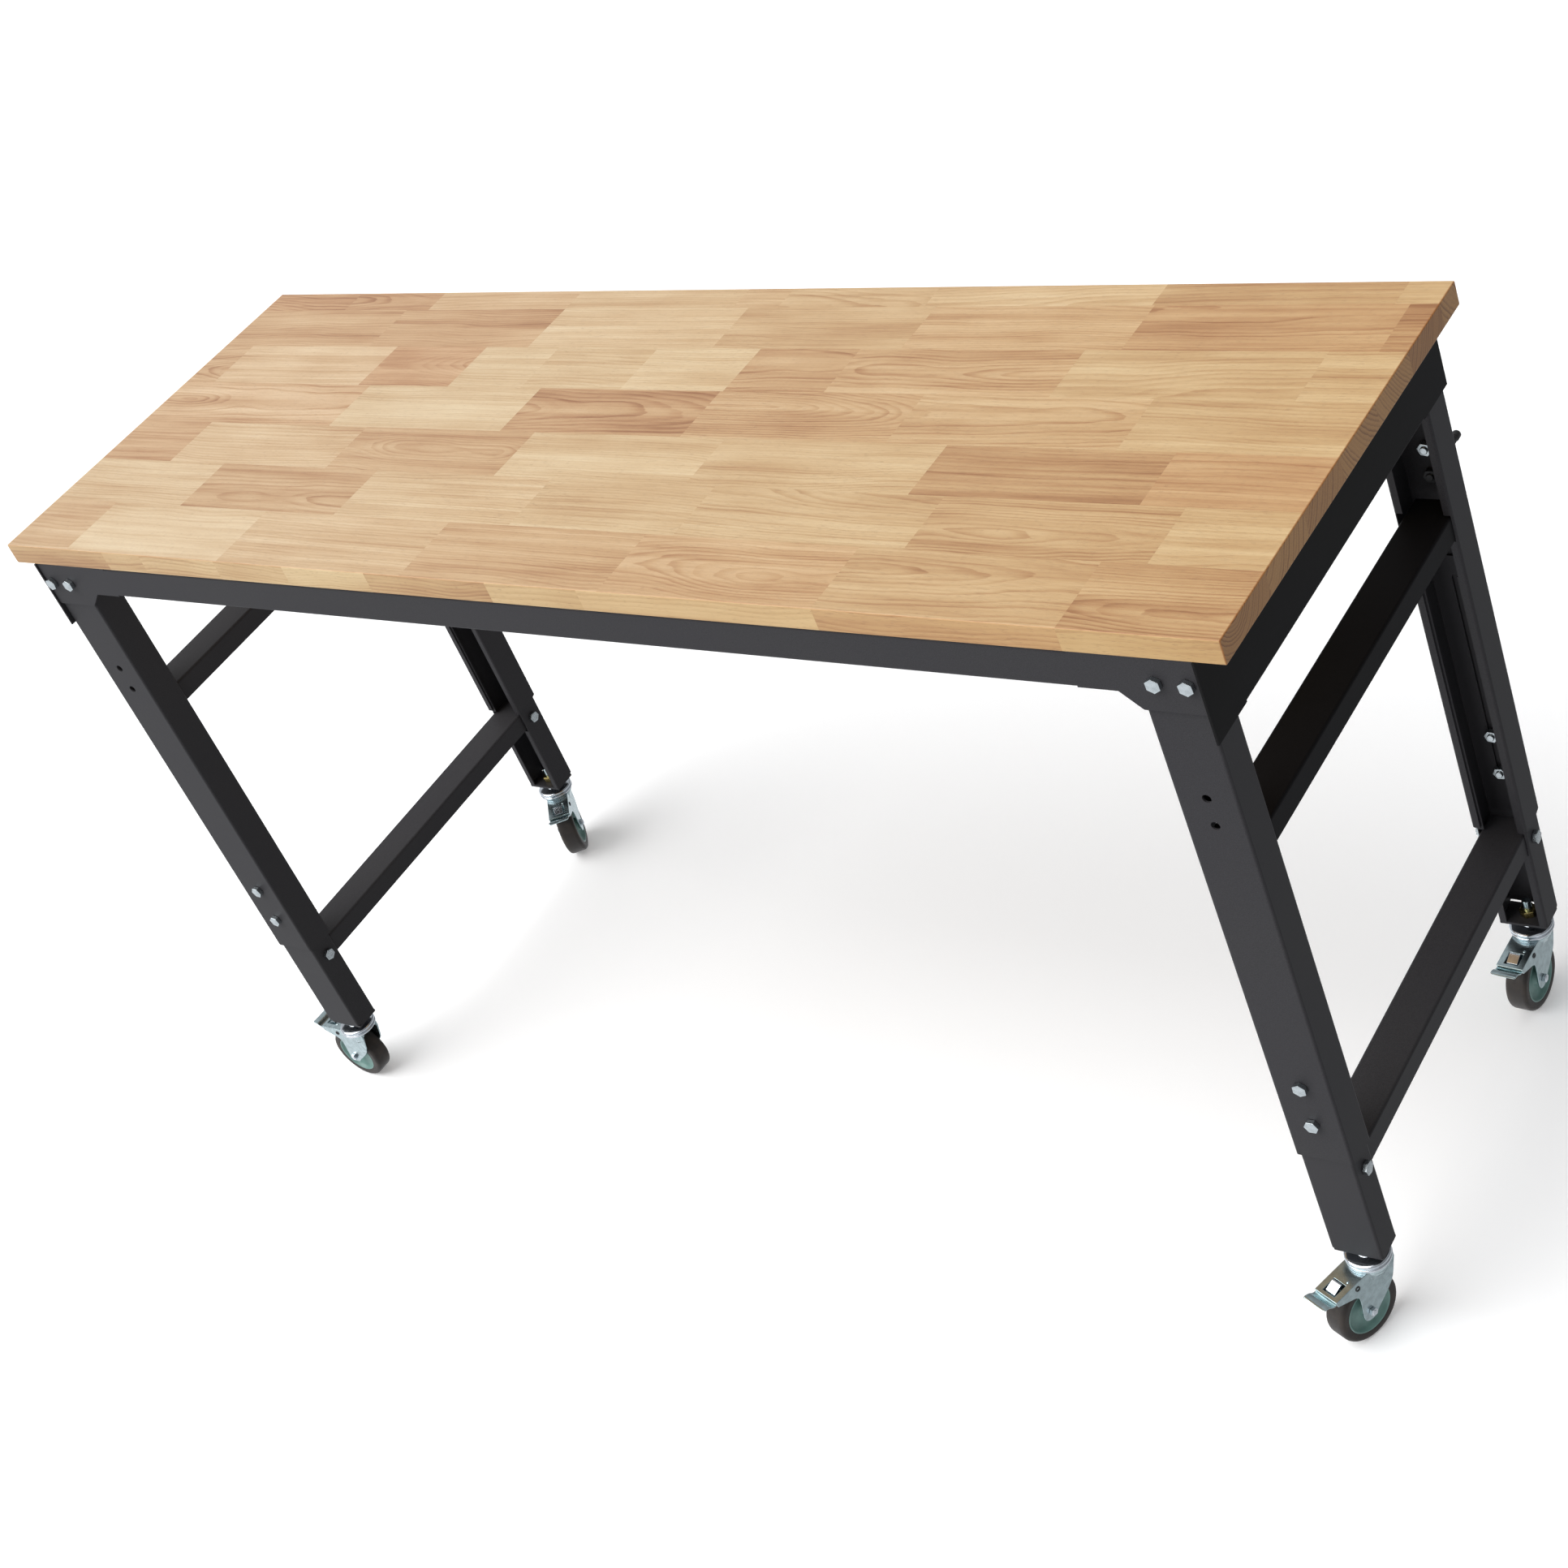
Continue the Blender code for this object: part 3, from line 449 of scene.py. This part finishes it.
def turned(profile, sides, closed=False):
    """(radius, height) points turned about Z; the ends lie on the axis, or meet if closed."""
    verts, faces, rings = [], [], []
    for radius, height in profile:
        ring = ring_points(radius, height, sides) if radius else [(0.0, 0.0, height)]
        rings.append(range(len(verts), len(verts) + len(ring)))
        verts += ring
    pairs = list(zip(rings, rings[1:])) + ([(rings[-1], rings[0])] if closed else [])
    for one, two in pairs:
        for k in range(sides):
            after = (k + 1) % sides
            if len(one) == 1:
                faces.append((one[0], two[k], two[after]))
            elif len(two) == 1:
                faces.append((one[k], two[0], one[after]))
            else:
                faces.append((one[k], two[k], two[after], one[after]))
    return verts, faces


def lathe(name, profile, sides=48, closed=False):
    return mesh_from(name, *turned(profile, sides, closed))


def thread(radius, low, high, pitch=0.00125, sides=20):
    """A threaded rod as stacked ridges."""
    turns = max(2, int((high - low) / pitch))
    step = (high - low) / turns
    root, tip = radius * 0.87, radius * 0.80
    profile = [(0.0, low)]
    for k in range(turns):
        profile += [(root, low + k * step), (radius, low + (k + 0.5) * step)]
    profile += [(tip, high), (0.0, high)]
    return turned(profile, sides)


def hex_prism(flats, low, high, chamfer=0.0):
    """A hexagon about Z whose upper corners are turned off."""
    corner = flats / math.sqrt(3.0)
    verts = ring_points(corner, low, 6) + ring_points(corner, high - 0.5 * chamfer, 6)
    verts += ring_points(corner - 1.2 * chamfer, high, 6)
    faces = [tuple(reversed(range(6)))]
    for level in (0, 6):
        for k in range(6):
            after = (k + 1) % 6
            faces.append((level + k, level + after, level + 6 + after, level + 6 + k))
    faces.append(tuple(range(12, 18)))
    return verts, faces


def extruded(name, outline, half):
    """A closed outline in (x, z) pushed half the width along Y each way."""
    count = len(outline)
    verts = [(x, -half, z) for x, z in outline] + [(x, half, z) for x, z in outline]
    faces = [tuple(range(count)), tuple(reversed(range(count, 2 * count)))]
    faces += [(k, (k + 1) % count, count + (k + 1) % count, count + k) for k in range(count)]
    return mesh_from(name, verts, faces)


def curve(points, steps):
    """A smooth run through the points, by Catmull-Rom."""
    ends = [points[0], *points, points[-1]]
    run = []
    for a, b, c, d in zip(ends, ends[1:], ends[2:], ends[3:]):
        for k in range(steps):
            t = k / steps
            run.append(tuple(
                0.5 * (2 * q + (r - p) * t + (2 * p - 5 * q + 4 * r - w) * t * t
                       + (3 * q - p - 3 * r + w) * t ** 3)
                for p, q, r, w in zip(a, b, c, d)))
    return [*run, points[-1]]


def x_turn(degrees):
    return Matrix.Rotation(math.radians(degrees), 4, "X")


# ---- bolts ---------------------------------------------------------------------------
# M8 hardware: the head and the nut are as wide across their flats
HEX_FLATS, HEAD_HEIGHT, NUT_HEIGHT = 0.013, 0.0053, 0.0065
BOLT_RADIUS, THREAD_PAST_NUT, THREAD_IN_HEAD = 0.004, 0.002, 0.001
HEAD_CHAMFER, NUT_CHAMFER = 0.0009, 0.0007
LEG_SHEET, SEAT_GAP, SPARE_HOLE_PITCH = 0.002, 0.0003, 0.0308
# the rear peg's cap, down from its tip, and how far the tip and the thread stop
# short of the end of the CAD's peg
CAP_PROFILE = ((0.0, -0.0080), (0.0042, -0.0080), (0.0046, -0.0075), (0.0046, -0.0018),
               (0.0042, -0.0008), (0.0030, -0.0002), (0.0, 0.0))
CAP_SHORT, PEG_THREAD_SHORT = 0.0038, 0.006


def bolt_mesh(name, length):
    """Hex bolt with its nut; the head's top at 0, the thread's end at -length."""
    nut_low = THREAD_PAST_NUT - length
    return gathered(
        name,
        hex_prism(HEX_FLATS, -HEAD_HEIGHT, 0.0, HEAD_CHAMFER),
        hex_prism(HEX_FLATS, nut_low, nut_low + NUT_HEIGHT, NUT_CHAMFER),
        thread(BOLT_RADIUS, -length, -HEAD_HEIGHT + THREAD_IN_HEAD))


def set_bolt(name, head, outward, length, body, stands_for):
    """Shows a bolt whose head's top is at a place and faces outward."""
    turn = Vector(outward).to_track_quat("Z", "Y").to_matrix().to_4x4()
    spin = Matrix.Rotation(random.uniform(0, math.pi / 3), 4, "Z")
    piece(name, bolt_mesh(name, length), ZINC, body, Matrix.Translation(head) @ turn @ spin,
          stands_for, "zinc_hardware", bevel=0.00035)


def build_bolts():
    random.seed(5)
    for name in sorted(NODES):
        if not name.startswith(("rail_bolt", "height_bolt", "crossbar_bolt")):
            continue
        low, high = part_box(name)
        middle = (low + high) / 2
        if name.startswith("crossbar_bolt"):
            head, outward, length = Vector((high.x, middle.y, middle.z)), (1, 0, 0), high.x - low.x
        else:
            back = 1 if middle.y > 0 else -1
            head = Vector((middle.x, high.y if back > 0 else low.y, middle.z))
            outward, length = (0, back, 0), high.y - low.y
        set_bolt(f"{name}_hex", head, outward, length, NODES[name]["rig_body"], (name,))


def build_rear_screws():
    """Spare holes of the rear legs: a short zinc screw above, a long black peg below."""
    for hand in ("left", "right"):
        peg = f"rear_peg_{hand}"
        low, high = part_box(peg)
        middle = (low + high) / 2
        web_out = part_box(f"upper_leg_rear_{hand}")[1].y
        web_in = web_out - LEG_SHEET

        head = Vector((middle.x, web_out + SEAT_GAP + HEAD_HEIGHT, middle.z + SPARE_HOLE_PITCH))
        length = HEAD_HEIGHT + LEG_SHEET + 2 * SEAT_GAP + NUT_HEIGHT + THREAD_PAST_NUT
        set_bolt(f"spare_screw_{hand}", head, (0, 1, 0), length, "bench_frame", ())

        place = Matrix.Translation((middle.x, 0.0, middle.z)) @ x_turn(-90)
        screw = gathered(
            "peg_screw", thread(BOLT_RADIUS, low.y, high.y - PEG_THREAD_SHORT),
            hex_prism(HEX_FLATS, web_in - SEAT_GAP - NUT_HEIGHT, web_in - SEAT_GAP),
            hex_prism(HEX_FLATS, web_out + SEAT_GAP, web_out + SEAT_GAP + NUT_HEIGHT, NUT_CHAMFER))
        piece(f"peg_screw_{hand}", screw, BLACK, "bench_frame", place, (peg,), "black_steel",
              bevel=0.0003)
        tip = high.y - CAP_SHORT
        cap = lathe("peg_cap", [(radius, tip + down) for radius, down in CAP_PROFILE], 32)
        piece(f"peg_cap_{hand}", cap, BLACK, "bench_frame", place, (peg,), "black_steel")


build_bolts()
build_rear_screws()


# ---- casters -------------------------------------------------------------------------
# in a caster's own frame x runs from the stem towards the axle and z up from the floor
FORK_HALF, FORK_SHEET = 0.015, 0.002
LID_HEIGHT, LID_DROP, WINDOW_HALF = 0.087, 0.0028, 0.0078
STEM_RADIUS, STEM_PITCH, STEM_NUT_FLATS = 0.005, 0.0015, 0.016
AXLE_RADIUS, AXLE_PITCH, AXLE_FLATS, AXLE_HEAD = 0.003, 0.001, 0.0084, 0.0034
AXLE_SEAT = FORK_HALF + 0.0002
PEDAL_HALF = 0.0143
TREAD_HALF, TREAD_ROUNDING, RIM_RADIUS, FLOOR_GAP = 0.012, 0.0045, 0.0278, 0.00002


class Caster:
    """Where one caster stands, and the bodies that its pieces ride on."""

    def __init__(self, corner):
        stem_low, stem_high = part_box(f"caster_stem_{corner}")
        axle_low, axle_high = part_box(f"wheel_axle_{corner}")
        stem, axle = (stem_low + stem_high) / 2, (axle_low + axle_high) / 2
        heading = Matrix.Rotation(math.atan2(axle.y - stem.y, axle.x - stem.x), 4, "Z")
        self.corner = corner
        self.stem_top = stem_high.z
        self.wheel_radius = axle.z - FLOOR_GAP
        self.place = Matrix.Translation((stem.x, stem.y, 0.0)) @ heading
        self.hub = Matrix.Translation(axle) @ heading @ x_turn(90)
        self.leg_body = f"{corner.split('_')[1]}_lower_frame"
        self.swivel, self.wheel, self.pedal = (
            f"{body}_{corner}" for body in ("swivel", "wheel", "pedal"))

    def show(self, name, mesh, material, body, node, place=None, slot="caster_steel", **more):
        """Shows one piece that stands for, or helps to stand for, one of the CAD's nodes."""
        piece(f"{name}_{self.corner}", mesh, material, body,
              self.place if place is None else place,
              (f"{node}_{self.corner}",), slot, **more)


def show_stem(caster):
    """Fixed to the leg: upper race with its collar, threaded stem and yellow nut."""
    body, node = caster.leg_body, "caster_stem"
    caster.show("race_upper", lathe("race_upper", [
        (0.0040, 0.0912), (0.0205, 0.0912), (0.0226, 0.0914), (0.0234, 0.0921), (0.0235, 0.0934),
        (0.0230, 0.0946), (0.0221, 0.0953), (0.0200, 0.0957), (0.0150, 0.0961), (0.0112, 0.0964),
        (0.0104, 0.0970), (0.0100, 0.0985), (0.0100, 0.1036), (0.0040, 0.1036)],
        64, closed=True), BRIGHT_STEEL, body, node)
    rod = thread(STEM_RADIUS, 0.0965, caster.stem_top, STEM_PITCH)
    caster.show("stem_thread", mesh_from("stem_thread", *rod), CASTER_STEEL, body, node)
    nut = hex_prism(STEM_NUT_FLATS, 0.1073, 0.1153, HEAD_CHAMFER)
    caster.show("stem_nut", mesh_from("stem_nut", *nut), YELLOW_STEEL, body, node, bevel=0.0003)


def fork_shell(name):
    """The fork as one bent sheet: lid with its window, and two side plates."""
    columns = (-FORK_HALF, -WINDOW_HALF, WINDOW_HALF, FORK_HALF)
    back, bend, window_back, nose = -0.018, 0.024, 0.0405, 0.061
    stations = (back, 0.0, bend, window_back, 0.0565, nose)

    def lid_z(x):
        return LID_HEIGHT - max(0.0, x - bend) / (nose - bend) * LID_DROP

    verts = [(x, y, lid_z(x)) for x in stations for y in columns]
    window = stations.index(window_back) * len(columns) + 1
    faces = [face for face in grid_faces(len(stations), len(columns)) if face[0] != window]
    outline = [(0.0595, 0.0772)] + curve(
        [(0.0395, 0.0698), (0.0352, 0.0660), (0.0341, 0.0590), (0.0358, 0.0400),
         (0.0352, 0.0330), (0.0318, 0.0287), (0.0262, 0.0275), (0.0208, 0.0291),
         (0.0165, 0.0335), (0.0040, 0.0430), (-0.0062, 0.0525), (-0.0108, 0.0600),
         (-0.0150, 0.0720)], 4) + [(back, 0.0800)]
    for side, column in ((-1, 0), (1, 3)):
        top = [len(columns) * i + column for i in range(len(stations))]
        base = len(verts)
        verts += [(x, side * FORK_HALF, z) for x, z in outline]
        loop = top + list(range(base, base + len(outline)))
        faces.append(tuple(loop if side > 0 else reversed(loop)))
    return mesh_from(name, verts, faces)


def flare_shell(name, side):
    """The drawn flare from the lower race down into one side plate."""
    rows, columns = 8, 14
    half_turn, ring_radius, ring_z = math.radians(62), 0.0215, 0.0865
    foot_half, foot_z, foot_rise = 0.0150, 0.0700, 0.006
    verts = []
    for i in range(rows + 1):
        fall = i / rows
        ease = fall * fall * (3 - 2 * fall)
        for j in range(columns + 1):
            along = 2 * j / columns - 1
            turn = half_turn * along
            ring = Vector((ring_radius * math.sin(turn), ring_radius * math.cos(turn), ring_z))
            foot = Vector((foot_half * along, FORK_HALF + 0.0002, foot_z + foot_rise * abs(along)))
            point = ring.lerp(foot, ease)
            verts.append((point.x, side * point.y, ring.z + (foot.z - ring.z) * fall))
    return mesh_from(name, verts, grid_faces(rows + 1, columns + 1))


def show_fork(caster):
    """Turning with the fork: shell, flares, rivet rings, lower race and the lid's dimple."""
    body, node = caster.swivel, "caster_fork"
    caster.show("fork_shell", fork_shell("fork_shell"), CASTER_STEEL, body, node,
                thickness=FORK_SHEET, bevel=0.0006)
    for side, hand in ((-1, "a"), (1, "b")):
        caster.show(f"fork_flare_{hand}", flare_shell("fork_flare", side), CASTER_STEEL, body,
                    node, thickness=0.0012)
        rivet = Matrix.Translation((0.033, side * (FORK_HALF + 0.0001), 0.079))
        caster.show(f"rivet_ring_{hand}", lathe("rivet_ring", [
            (0.0016, -0.0004), (0.0030, -0.0004), (0.0030, 0.0003), (0.0026, 0.0007),
            (0.0020, 0.0007), (0.0016, 0.0002)], 28, closed=True), BLACK, body, node,
            caster.place @ rivet @ x_turn(-90 * side))
    caster.show("race_lower", lathe("race_lower", [
        (0.0045, 0.0872), (0.0195, 0.0866), (0.0222, 0.0868), (0.0233, 0.0875), (0.0235, 0.0886),
        (0.0232, 0.0898), (0.0222, 0.0905), (0.0200, 0.0906), (0.0045, 0.0906)],
        64, closed=True), BRIGHT_STEEL, body, node)
    dimple = Matrix.Translation((0.0365, 0.0070, 0.0857))
    caster.show("lid_dimple", lathe("lid_dimple", [
        (0.0, 0.0012), (0.0008, 0.0011), (0.0015, 0.0006), (0.0018, 0.0), (0.0018, -0.0006),
        (0.0, -0.0006)], 20), CASTER_STEEL, body, node, caster.place @ dimple)


def pedal_tab(name):
    """The foot tab: a bent line in side view, dished across, its front corners pulled in."""
    line = curve([(0.0600, 0.0812), (0.0630, 0.0813), (0.0656, 0.0826), (0.0684, 0.0848),
                  (0.0716, 0.0862), (0.0748, 0.0868), (0.0770, 0.0862)], 4)
    columns = (-PEDAL_HALF, -0.0125, -0.006, 0.0, 0.006, 0.0125, PEDAL_HALF)
    verts = []
    for k, (x, z) in enumerate(line):
        for y in columns:
            corner = abs(y) == PEDAL_HALF and k > len(line) - 4
            verts.append((x - 0.0012 if corner else x, y, z + 0.0005 * (y / PEDAL_HALF) ** 2))
    return mesh_from(name, verts, grid_faces(len(line), len(columns)))


def show_pedal(caster):
    """The brake: foot tab, the plate under the lid, release tab and shoe."""
    body, node = caster.pedal, "brake_pedal"
    caster.show("pedal_tab", pedal_tab("pedal_tab"), CASTER_STEEL, body, node,
                thickness=0.0013, bevel=0.0003)
    caster.show("pedal_plate", extruded("pedal_plate", [
        (0.0225, 0.0797), (0.0225, 0.0808), (0.0625, 0.0808), (0.0625, 0.0797)], 0.011),
        CASTER_STEEL, body, node, bevel=0.0002)
    caster.show("release_tab", extruded("release_tab", [
        (0.0420, 0.0800), (0.0424, 0.0877), (0.0440, 0.0885), (0.0456, 0.0880), (0.0545, 0.0838),
        (0.0545, 0.0822), (0.0470, 0.0850), (0.0460, 0.0800)], 0.006),
        BRIGHT_STEEL, body, node, bevel=0.0003)
    caster.show("brake_shoe", extruded("brake_shoe", [
        (0.0402, 0.0799), (0.0412, 0.0752), (0.0498, 0.0752), (0.0508, 0.0799)], 0.009),
        BLACK, body, node, bevel=0.0004)


def show_axle(caster):
    """Axle bolt: small head on one side plate, nut and thread end on the other."""
    bolt = gathered(
        "axle_bolt", hex_prism(AXLE_FLATS, AXLE_SEAT, AXLE_SEAT + AXLE_HEAD, NUT_CHAMFER),
        hex_prism(AXLE_FLATS, -AXLE_SEAT - AXLE_HEAD, -AXLE_SEAT),
        thread(AXLE_RADIUS, -FORK_HALF - 0.0042, FORK_HALF + 0.001, AXLE_PITCH))
    body = NODES[f"wheel_axle_{caster.corner}"]["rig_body"]
    caster.show("axle_bolt", bolt, BRIGHT_STEEL, body, "wheel_axle", caster.hub, bevel=0.0003)


def show_wheel(caster):
    """Rubber tread round a dished core; both are the same from either side."""
    def mirrored(profile):
        return profile + [(radius, -height) for radius, height in reversed(profile)]

    shoulder_radius = caster.wheel_radius - TREAD_ROUNDING
    shoulder_height = TREAD_HALF - TREAD_ROUNDING
    shoulder = [(shoulder_radius + TREAD_ROUNDING * math.sin(turn),
                 shoulder_height + TREAD_ROUNDING * math.cos(turn))
                for turn in (math.pi / 2 * k / 6 for k in range(7))]
    tread = [(RIM_RADIUS - 0.002, TREAD_HALF - 0.0012), (RIM_RADIUS, TREAD_HALF - 0.0004)]
    core = [(0.0042, 0.0122), (0.0082, 0.0122), (0.0090, 0.0114), (0.0096, 0.0080),
            (0.0112, 0.0066), (0.0190, 0.0062), (0.0226, 0.0068), (0.0246, 0.0084),
            (0.0256, 0.0106), (0.0262, 0.0117), (0.0272, 0.0119), (0.0277, 0.0113)]
    caster.show("wheel_tread", lathe("wheel_tread", mirrored(tread + shoulder), 72, closed=True),
                RUBBER, caster.wheel, "caster_wheel", caster.hub, "wheel_rubber")
    caster.show("wheel_core", lathe("wheel_core", mirrored(core), 72, closed=True),
                CORE, caster.wheel, "caster_wheel", caster.hub, slot=None)


for corner in CORNERS:
    caster = Caster(corner)
    show_stem(caster)
    show_fork(caster)
    show_pedal(caster)
    show_axle(caster)
    show_wheel(caster)


# ---- worktop -------------------------------------------------------------------------
# glue lines between the rows, back to front, in metres
GLUE_LINES = (0.217, 0.142, 0.066, -0.012, -0.088, -0.166)
# staves of each row from left to right: where the stave ends in millimetres, how dark it
# is, how figured, and how pink; the last stave runs to the end of the board
STAVES = (
    ((-620, .62, .5, .7), (-480, .60, 1., .6), (-267, .50, .3, .4), (-30, .42, .3, .2),
     (30, .55, .3, .3), (215, .52, .8, .2), (475, .22, .7, .2), (720, .62, .2, .2),
     (762, .35, .2, .1)),
    ((-515, .62, .2, .5), (-267, .66, .3, .5), (-8, .26, .1, .2), (230, .50, .3, .2),
     (478, .42, .4, .4), (735, .60, .7, .5), (762, .85, .2, .4)),
    ((-712, .52, .9, .5), (-468, .30, .1, .4), (-328, .64, .8, .8), (-220, .22, .1, .1),
     (-80, .30, .2, .1), (57, .14, .1, .1), (182, .58, .9, .4), (440, .48, 1., .4),
     (688, .34, .6, .1), (762, .28, .2, .1)),
    ((-448, .36, 1., .6), (-190, .20, .1, .1), (54, .68, .9, .5), (302, .50, 1., .4),
     (550, .42, .8, .3), (762, .34, .3, .1)),
    ((-642, .64, .1, .6), (-388, .32, .4, .3), (-140, .58, .9, .4), (112, .24, .2, .1),
     (372, .36, .4, .1), (610, .74, .1, .3), (762, .56, .3, .6)),
    ((-550, .30, .3, .2), (-308, .62, .9, .4), (-60, .32, .4, .2), (150, .40, .1, .1),
     (412, .36, .6, .1), (655, .52, .9, .2), (762, .30, .4, .1)),
    ((-657, .50, .2, .4), (-410, .16, .1, .2), (-140, .36, .2, .3), (118, .50, .5, .4),
     (365, .42, .9, .5), (612, .40, 1., .2), (762, .60, .9, .3)),
)
# the front edge shows its own joints
FRONT_STAVES = (
    (-597, .68, .3, .1), (-535, .62, .8, .1), (-415, .46, .9, .1), (-310, .50, .8, .1),
    (-190, .30, .9, .0), (-25, .62, .7, .1), (92, .42, .2, .0), (365, .30, .2, .1),
    (612, .46, .3, .4), (762, .36, .3, .0),
)


class Board:
    """A closed board built face by face, with each stave's facts in the faces' layers."""

    def __init__(self):
        self.bm = bmesh.new()
        layers = self.bm.faces.layers.float_color
        self.layers = [layers.new(name) for name in ("stave", "look", "middle")]
        self.seen = {}

    def vertex(self, *place):
        key = tuple(round(value, 6) for value in place)
        if key not in self.seen:
            self.seen[key] = self.bm.verts.new(place)
        return self.seen[key]

    def face(self, corners, facts, flip=False):
        loop = [self.vertex(*corner) for corner in corners]
        made = self.bm.faces.new(reversed(loop) if flip else loop)
        for layer, values in zip(self.layers, facts):
            made[layer] = (*values, 1.0)

    def mesh(self, name):
        mesh = bpy.data.meshes.new(name)
        self.bm.to_mesh(mesh)
        self.bm.free()
        return mesh


def stave_facts(stave, middle_x, middle_y):
    """Random seeds, how the stave looks, and its middle."""
    seeds = [random.random() for _ in range(3)]
    return seeds, stave[1:], (middle_x + MIDDLE_SHIFT, middle_y + MIDDLE_SHIFT, 0.0)


def build_worktop():
    """One closed board whose faces are split along the glue lines and stave ends."""
    low, high = WORKTOP_LOW, WORKTOP_HIGH
    random.seed(11)
    board = Board()
    lines = [high.y, *GLUE_LINES, low.y]
    ends = [[low.x, *(stave[0] / 1000.0 for stave in row[:-1]), high.x]
            for row in (*STAVES, FRONT_STAVES)]

    def with_joints(start, stop, neighbours):
        return [start, *(x for x in neighbours if start < x < stop), stop]

    for index, row in enumerate(STAVES):
        back, front = lines[index], lines[index + 1]
        here, ahead = ends[index], ends[index + 1]
        behind = ends[index - 1] if index else here
        for start, stop, stave in zip(here, here[1:], row):
            facts = stave_facts(stave, (start + stop) / 2, (back + front) / 2)
            for z in (high.z, low.z):
                loop = [(x, front, z) for x in with_joints(start, stop, ahead)]
                loop += [(x, back, z) for x in reversed(with_joints(start, stop, behind))]
                board.face(loop, facts, flip=z == low.z)
            if index == 0:
                board.face([(stop, back, low.z), (start, back, low.z),
                            (start, back, high.z), (stop, back, high.z)], facts)
            for x in (start, stop):
                if x in (low.x, high.x):
                    board.face([(x, front, low.z), (x, back, low.z),
                                (x, back, high.z), (x, front, high.z)], facts, flip=x == low.x)

    # the front edge's own staves, whose middles lie 20 mm before the edge
    for start, stop, stave in zip(ends[-1], ends[-1][1:], FRONT_STAVES):
        facts = stave_facts(stave, (start + stop) / 2, low.y - 0.02)
        run = with_joints(start, stop, ends[-2])
        board.face([(x, low.y, low.z) for x in run]
                   + [(x, low.y, high.z) for x in reversed(run)], facts)

    piece("worktop_staves", board.mesh("worktop_staves"), WOOD, "bench_frame",
          stands_for=("worktop",), slot="worktop_wood", bevel=0.0014, steps=4, sharp=60)


build_worktop()


# ---- floor, light, camera ------------------------------------------------------------
FLOOR_HALF = 60.0
# the white room round the floor is wide and tall enough to stand behind every view
ROOM_RADIUS, ROOM_FOOT, ROOM_TOP = 45.0, -0.1, 45.0
FLOOR_GLOW = 0.22
SUN_STRENGTH, SUN_SPREAD_DEG, SUN_FROM = 2.85, 60, (-0.40, -0.42, 0.82)
CAMERA_PLACE = (1.71426, -1.63027, 2.08428)
CAMERA_TURN_DEG = (52.17208, 19.61130, 32.29867)
CAMERA_LENS_MM, CAMERA_SENSOR_MM = 59.9668, 36.0


def stage(mesh, material):
    """Stands a mesh round the bench for the camera alone: it neither lights nor shades it."""
    staged = shown(mesh.name, mesh)
    mesh.materials.append(material)
    staged.visible_diffuse = staged.visible_glossy = False
    staged.visible_shadow = staged.visible_transmission = False


def build_floor_and_room():
    floor = bpy.data.meshes.new("studio_floor")
    floor.from_pydata(
        [(-FLOOR_HALF, -FLOOR_HALF, 0), (FLOOR_HALF, -FLOOR_HALF, 0),
         (FLOOR_HALF, FLOOR_HALF, 0), (-FLOOR_HALF, FLOOR_HALF, 0)],
        [], [(0, 1, 2, 3)])
    stage(floor, Shader("pale_floor").surface(
        (0.88, 0.88, 0.88), Roughness=0.9, Specular_IOR_Level=0.1,
        Emission_Color=(1.0, 1.0, 1.0, 1.0), Emission_Strength=FLOOR_GLOW))
    room = lathe("studio_backdrop", [
        (ROOM_RADIUS, ROOM_FOOT), (ROOM_RADIUS, ROOM_TOP), (0.0, ROOM_TOP)])
    stage(room, Shader("white_backdrop").surface(
        (0.0, 0.0, 0.0), Roughness=1.0, Specular_IOR_Level=0.0,
        Emission_Color=(1.0, 1.0, 1.0, 1.0), Emission_Strength=1.0))


def build_world():
    """Soft light from the left and the front, and what a white floor would throw back up."""
    world = bpy.data.worlds.new("soft_studio")
    bpy.context.scene.world = world
    world.use_nodes = True
    sky = NodeTree(world.node_tree)
    aim = sky.node("ShaderNodeTexCoord").outputs["Generated"]

    def brighter_toward(direction, reach, strength):
        facing = sky.node("ShaderNodeVectorMath", {0: aim, 1: direction}, operation="DOT_PRODUCT")
        return sky.spread(facing.outputs["Value"], *reach, *strength, smooth=True)

    above = brighter_toward((-0.72, -0.40, 0.57), (-0.9, 0.9), (0.12, 0.62))
    below = brighter_toward((-0.90, -0.44, 0.0), (-0.8, 0.5), (0.48, 1.06))
    under_horizon = sky.spread(sky.split(aim)[2], 0.02, -0.06)
    strength = sky.node("ShaderNodeMix", {0: under_horizon, 2: above, 3: below}).outputs[0]
    background = world.node_tree.nodes["Background"]
    sky.feed(background.inputs["Color"], (0.95, 0.97, 1.0, 1.0))
    sky.feed(background.inputs["Strength"], strength)


def build_sun():
    light = bpy.data.lights.new("key", "SUN")
    light.energy = SUN_STRENGTH
    light.angle = math.radians(SUN_SPREAD_DEG)
    shown("key", light).rotation_euler = Vector(SUN_FROM).to_track_quat("Z", "Y").to_euler()


def build_camera():
    lens = bpy.data.cameras.new("camera")
    lens.lens = CAMERA_LENS_MM
    lens.sensor_width = CAMERA_SENSOR_MM
    camera = shown("camera", lens)
    camera.location = CAMERA_PLACE
    camera.rotation_euler = Euler([math.radians(turn) for turn in CAMERA_TURN_DEG])
    bpy.context.scene.camera = camera
    bpy.context.scene.view_settings.view_transform = "Standard"


build_floor_and_room()
build_world()
build_sun()
build_camera()
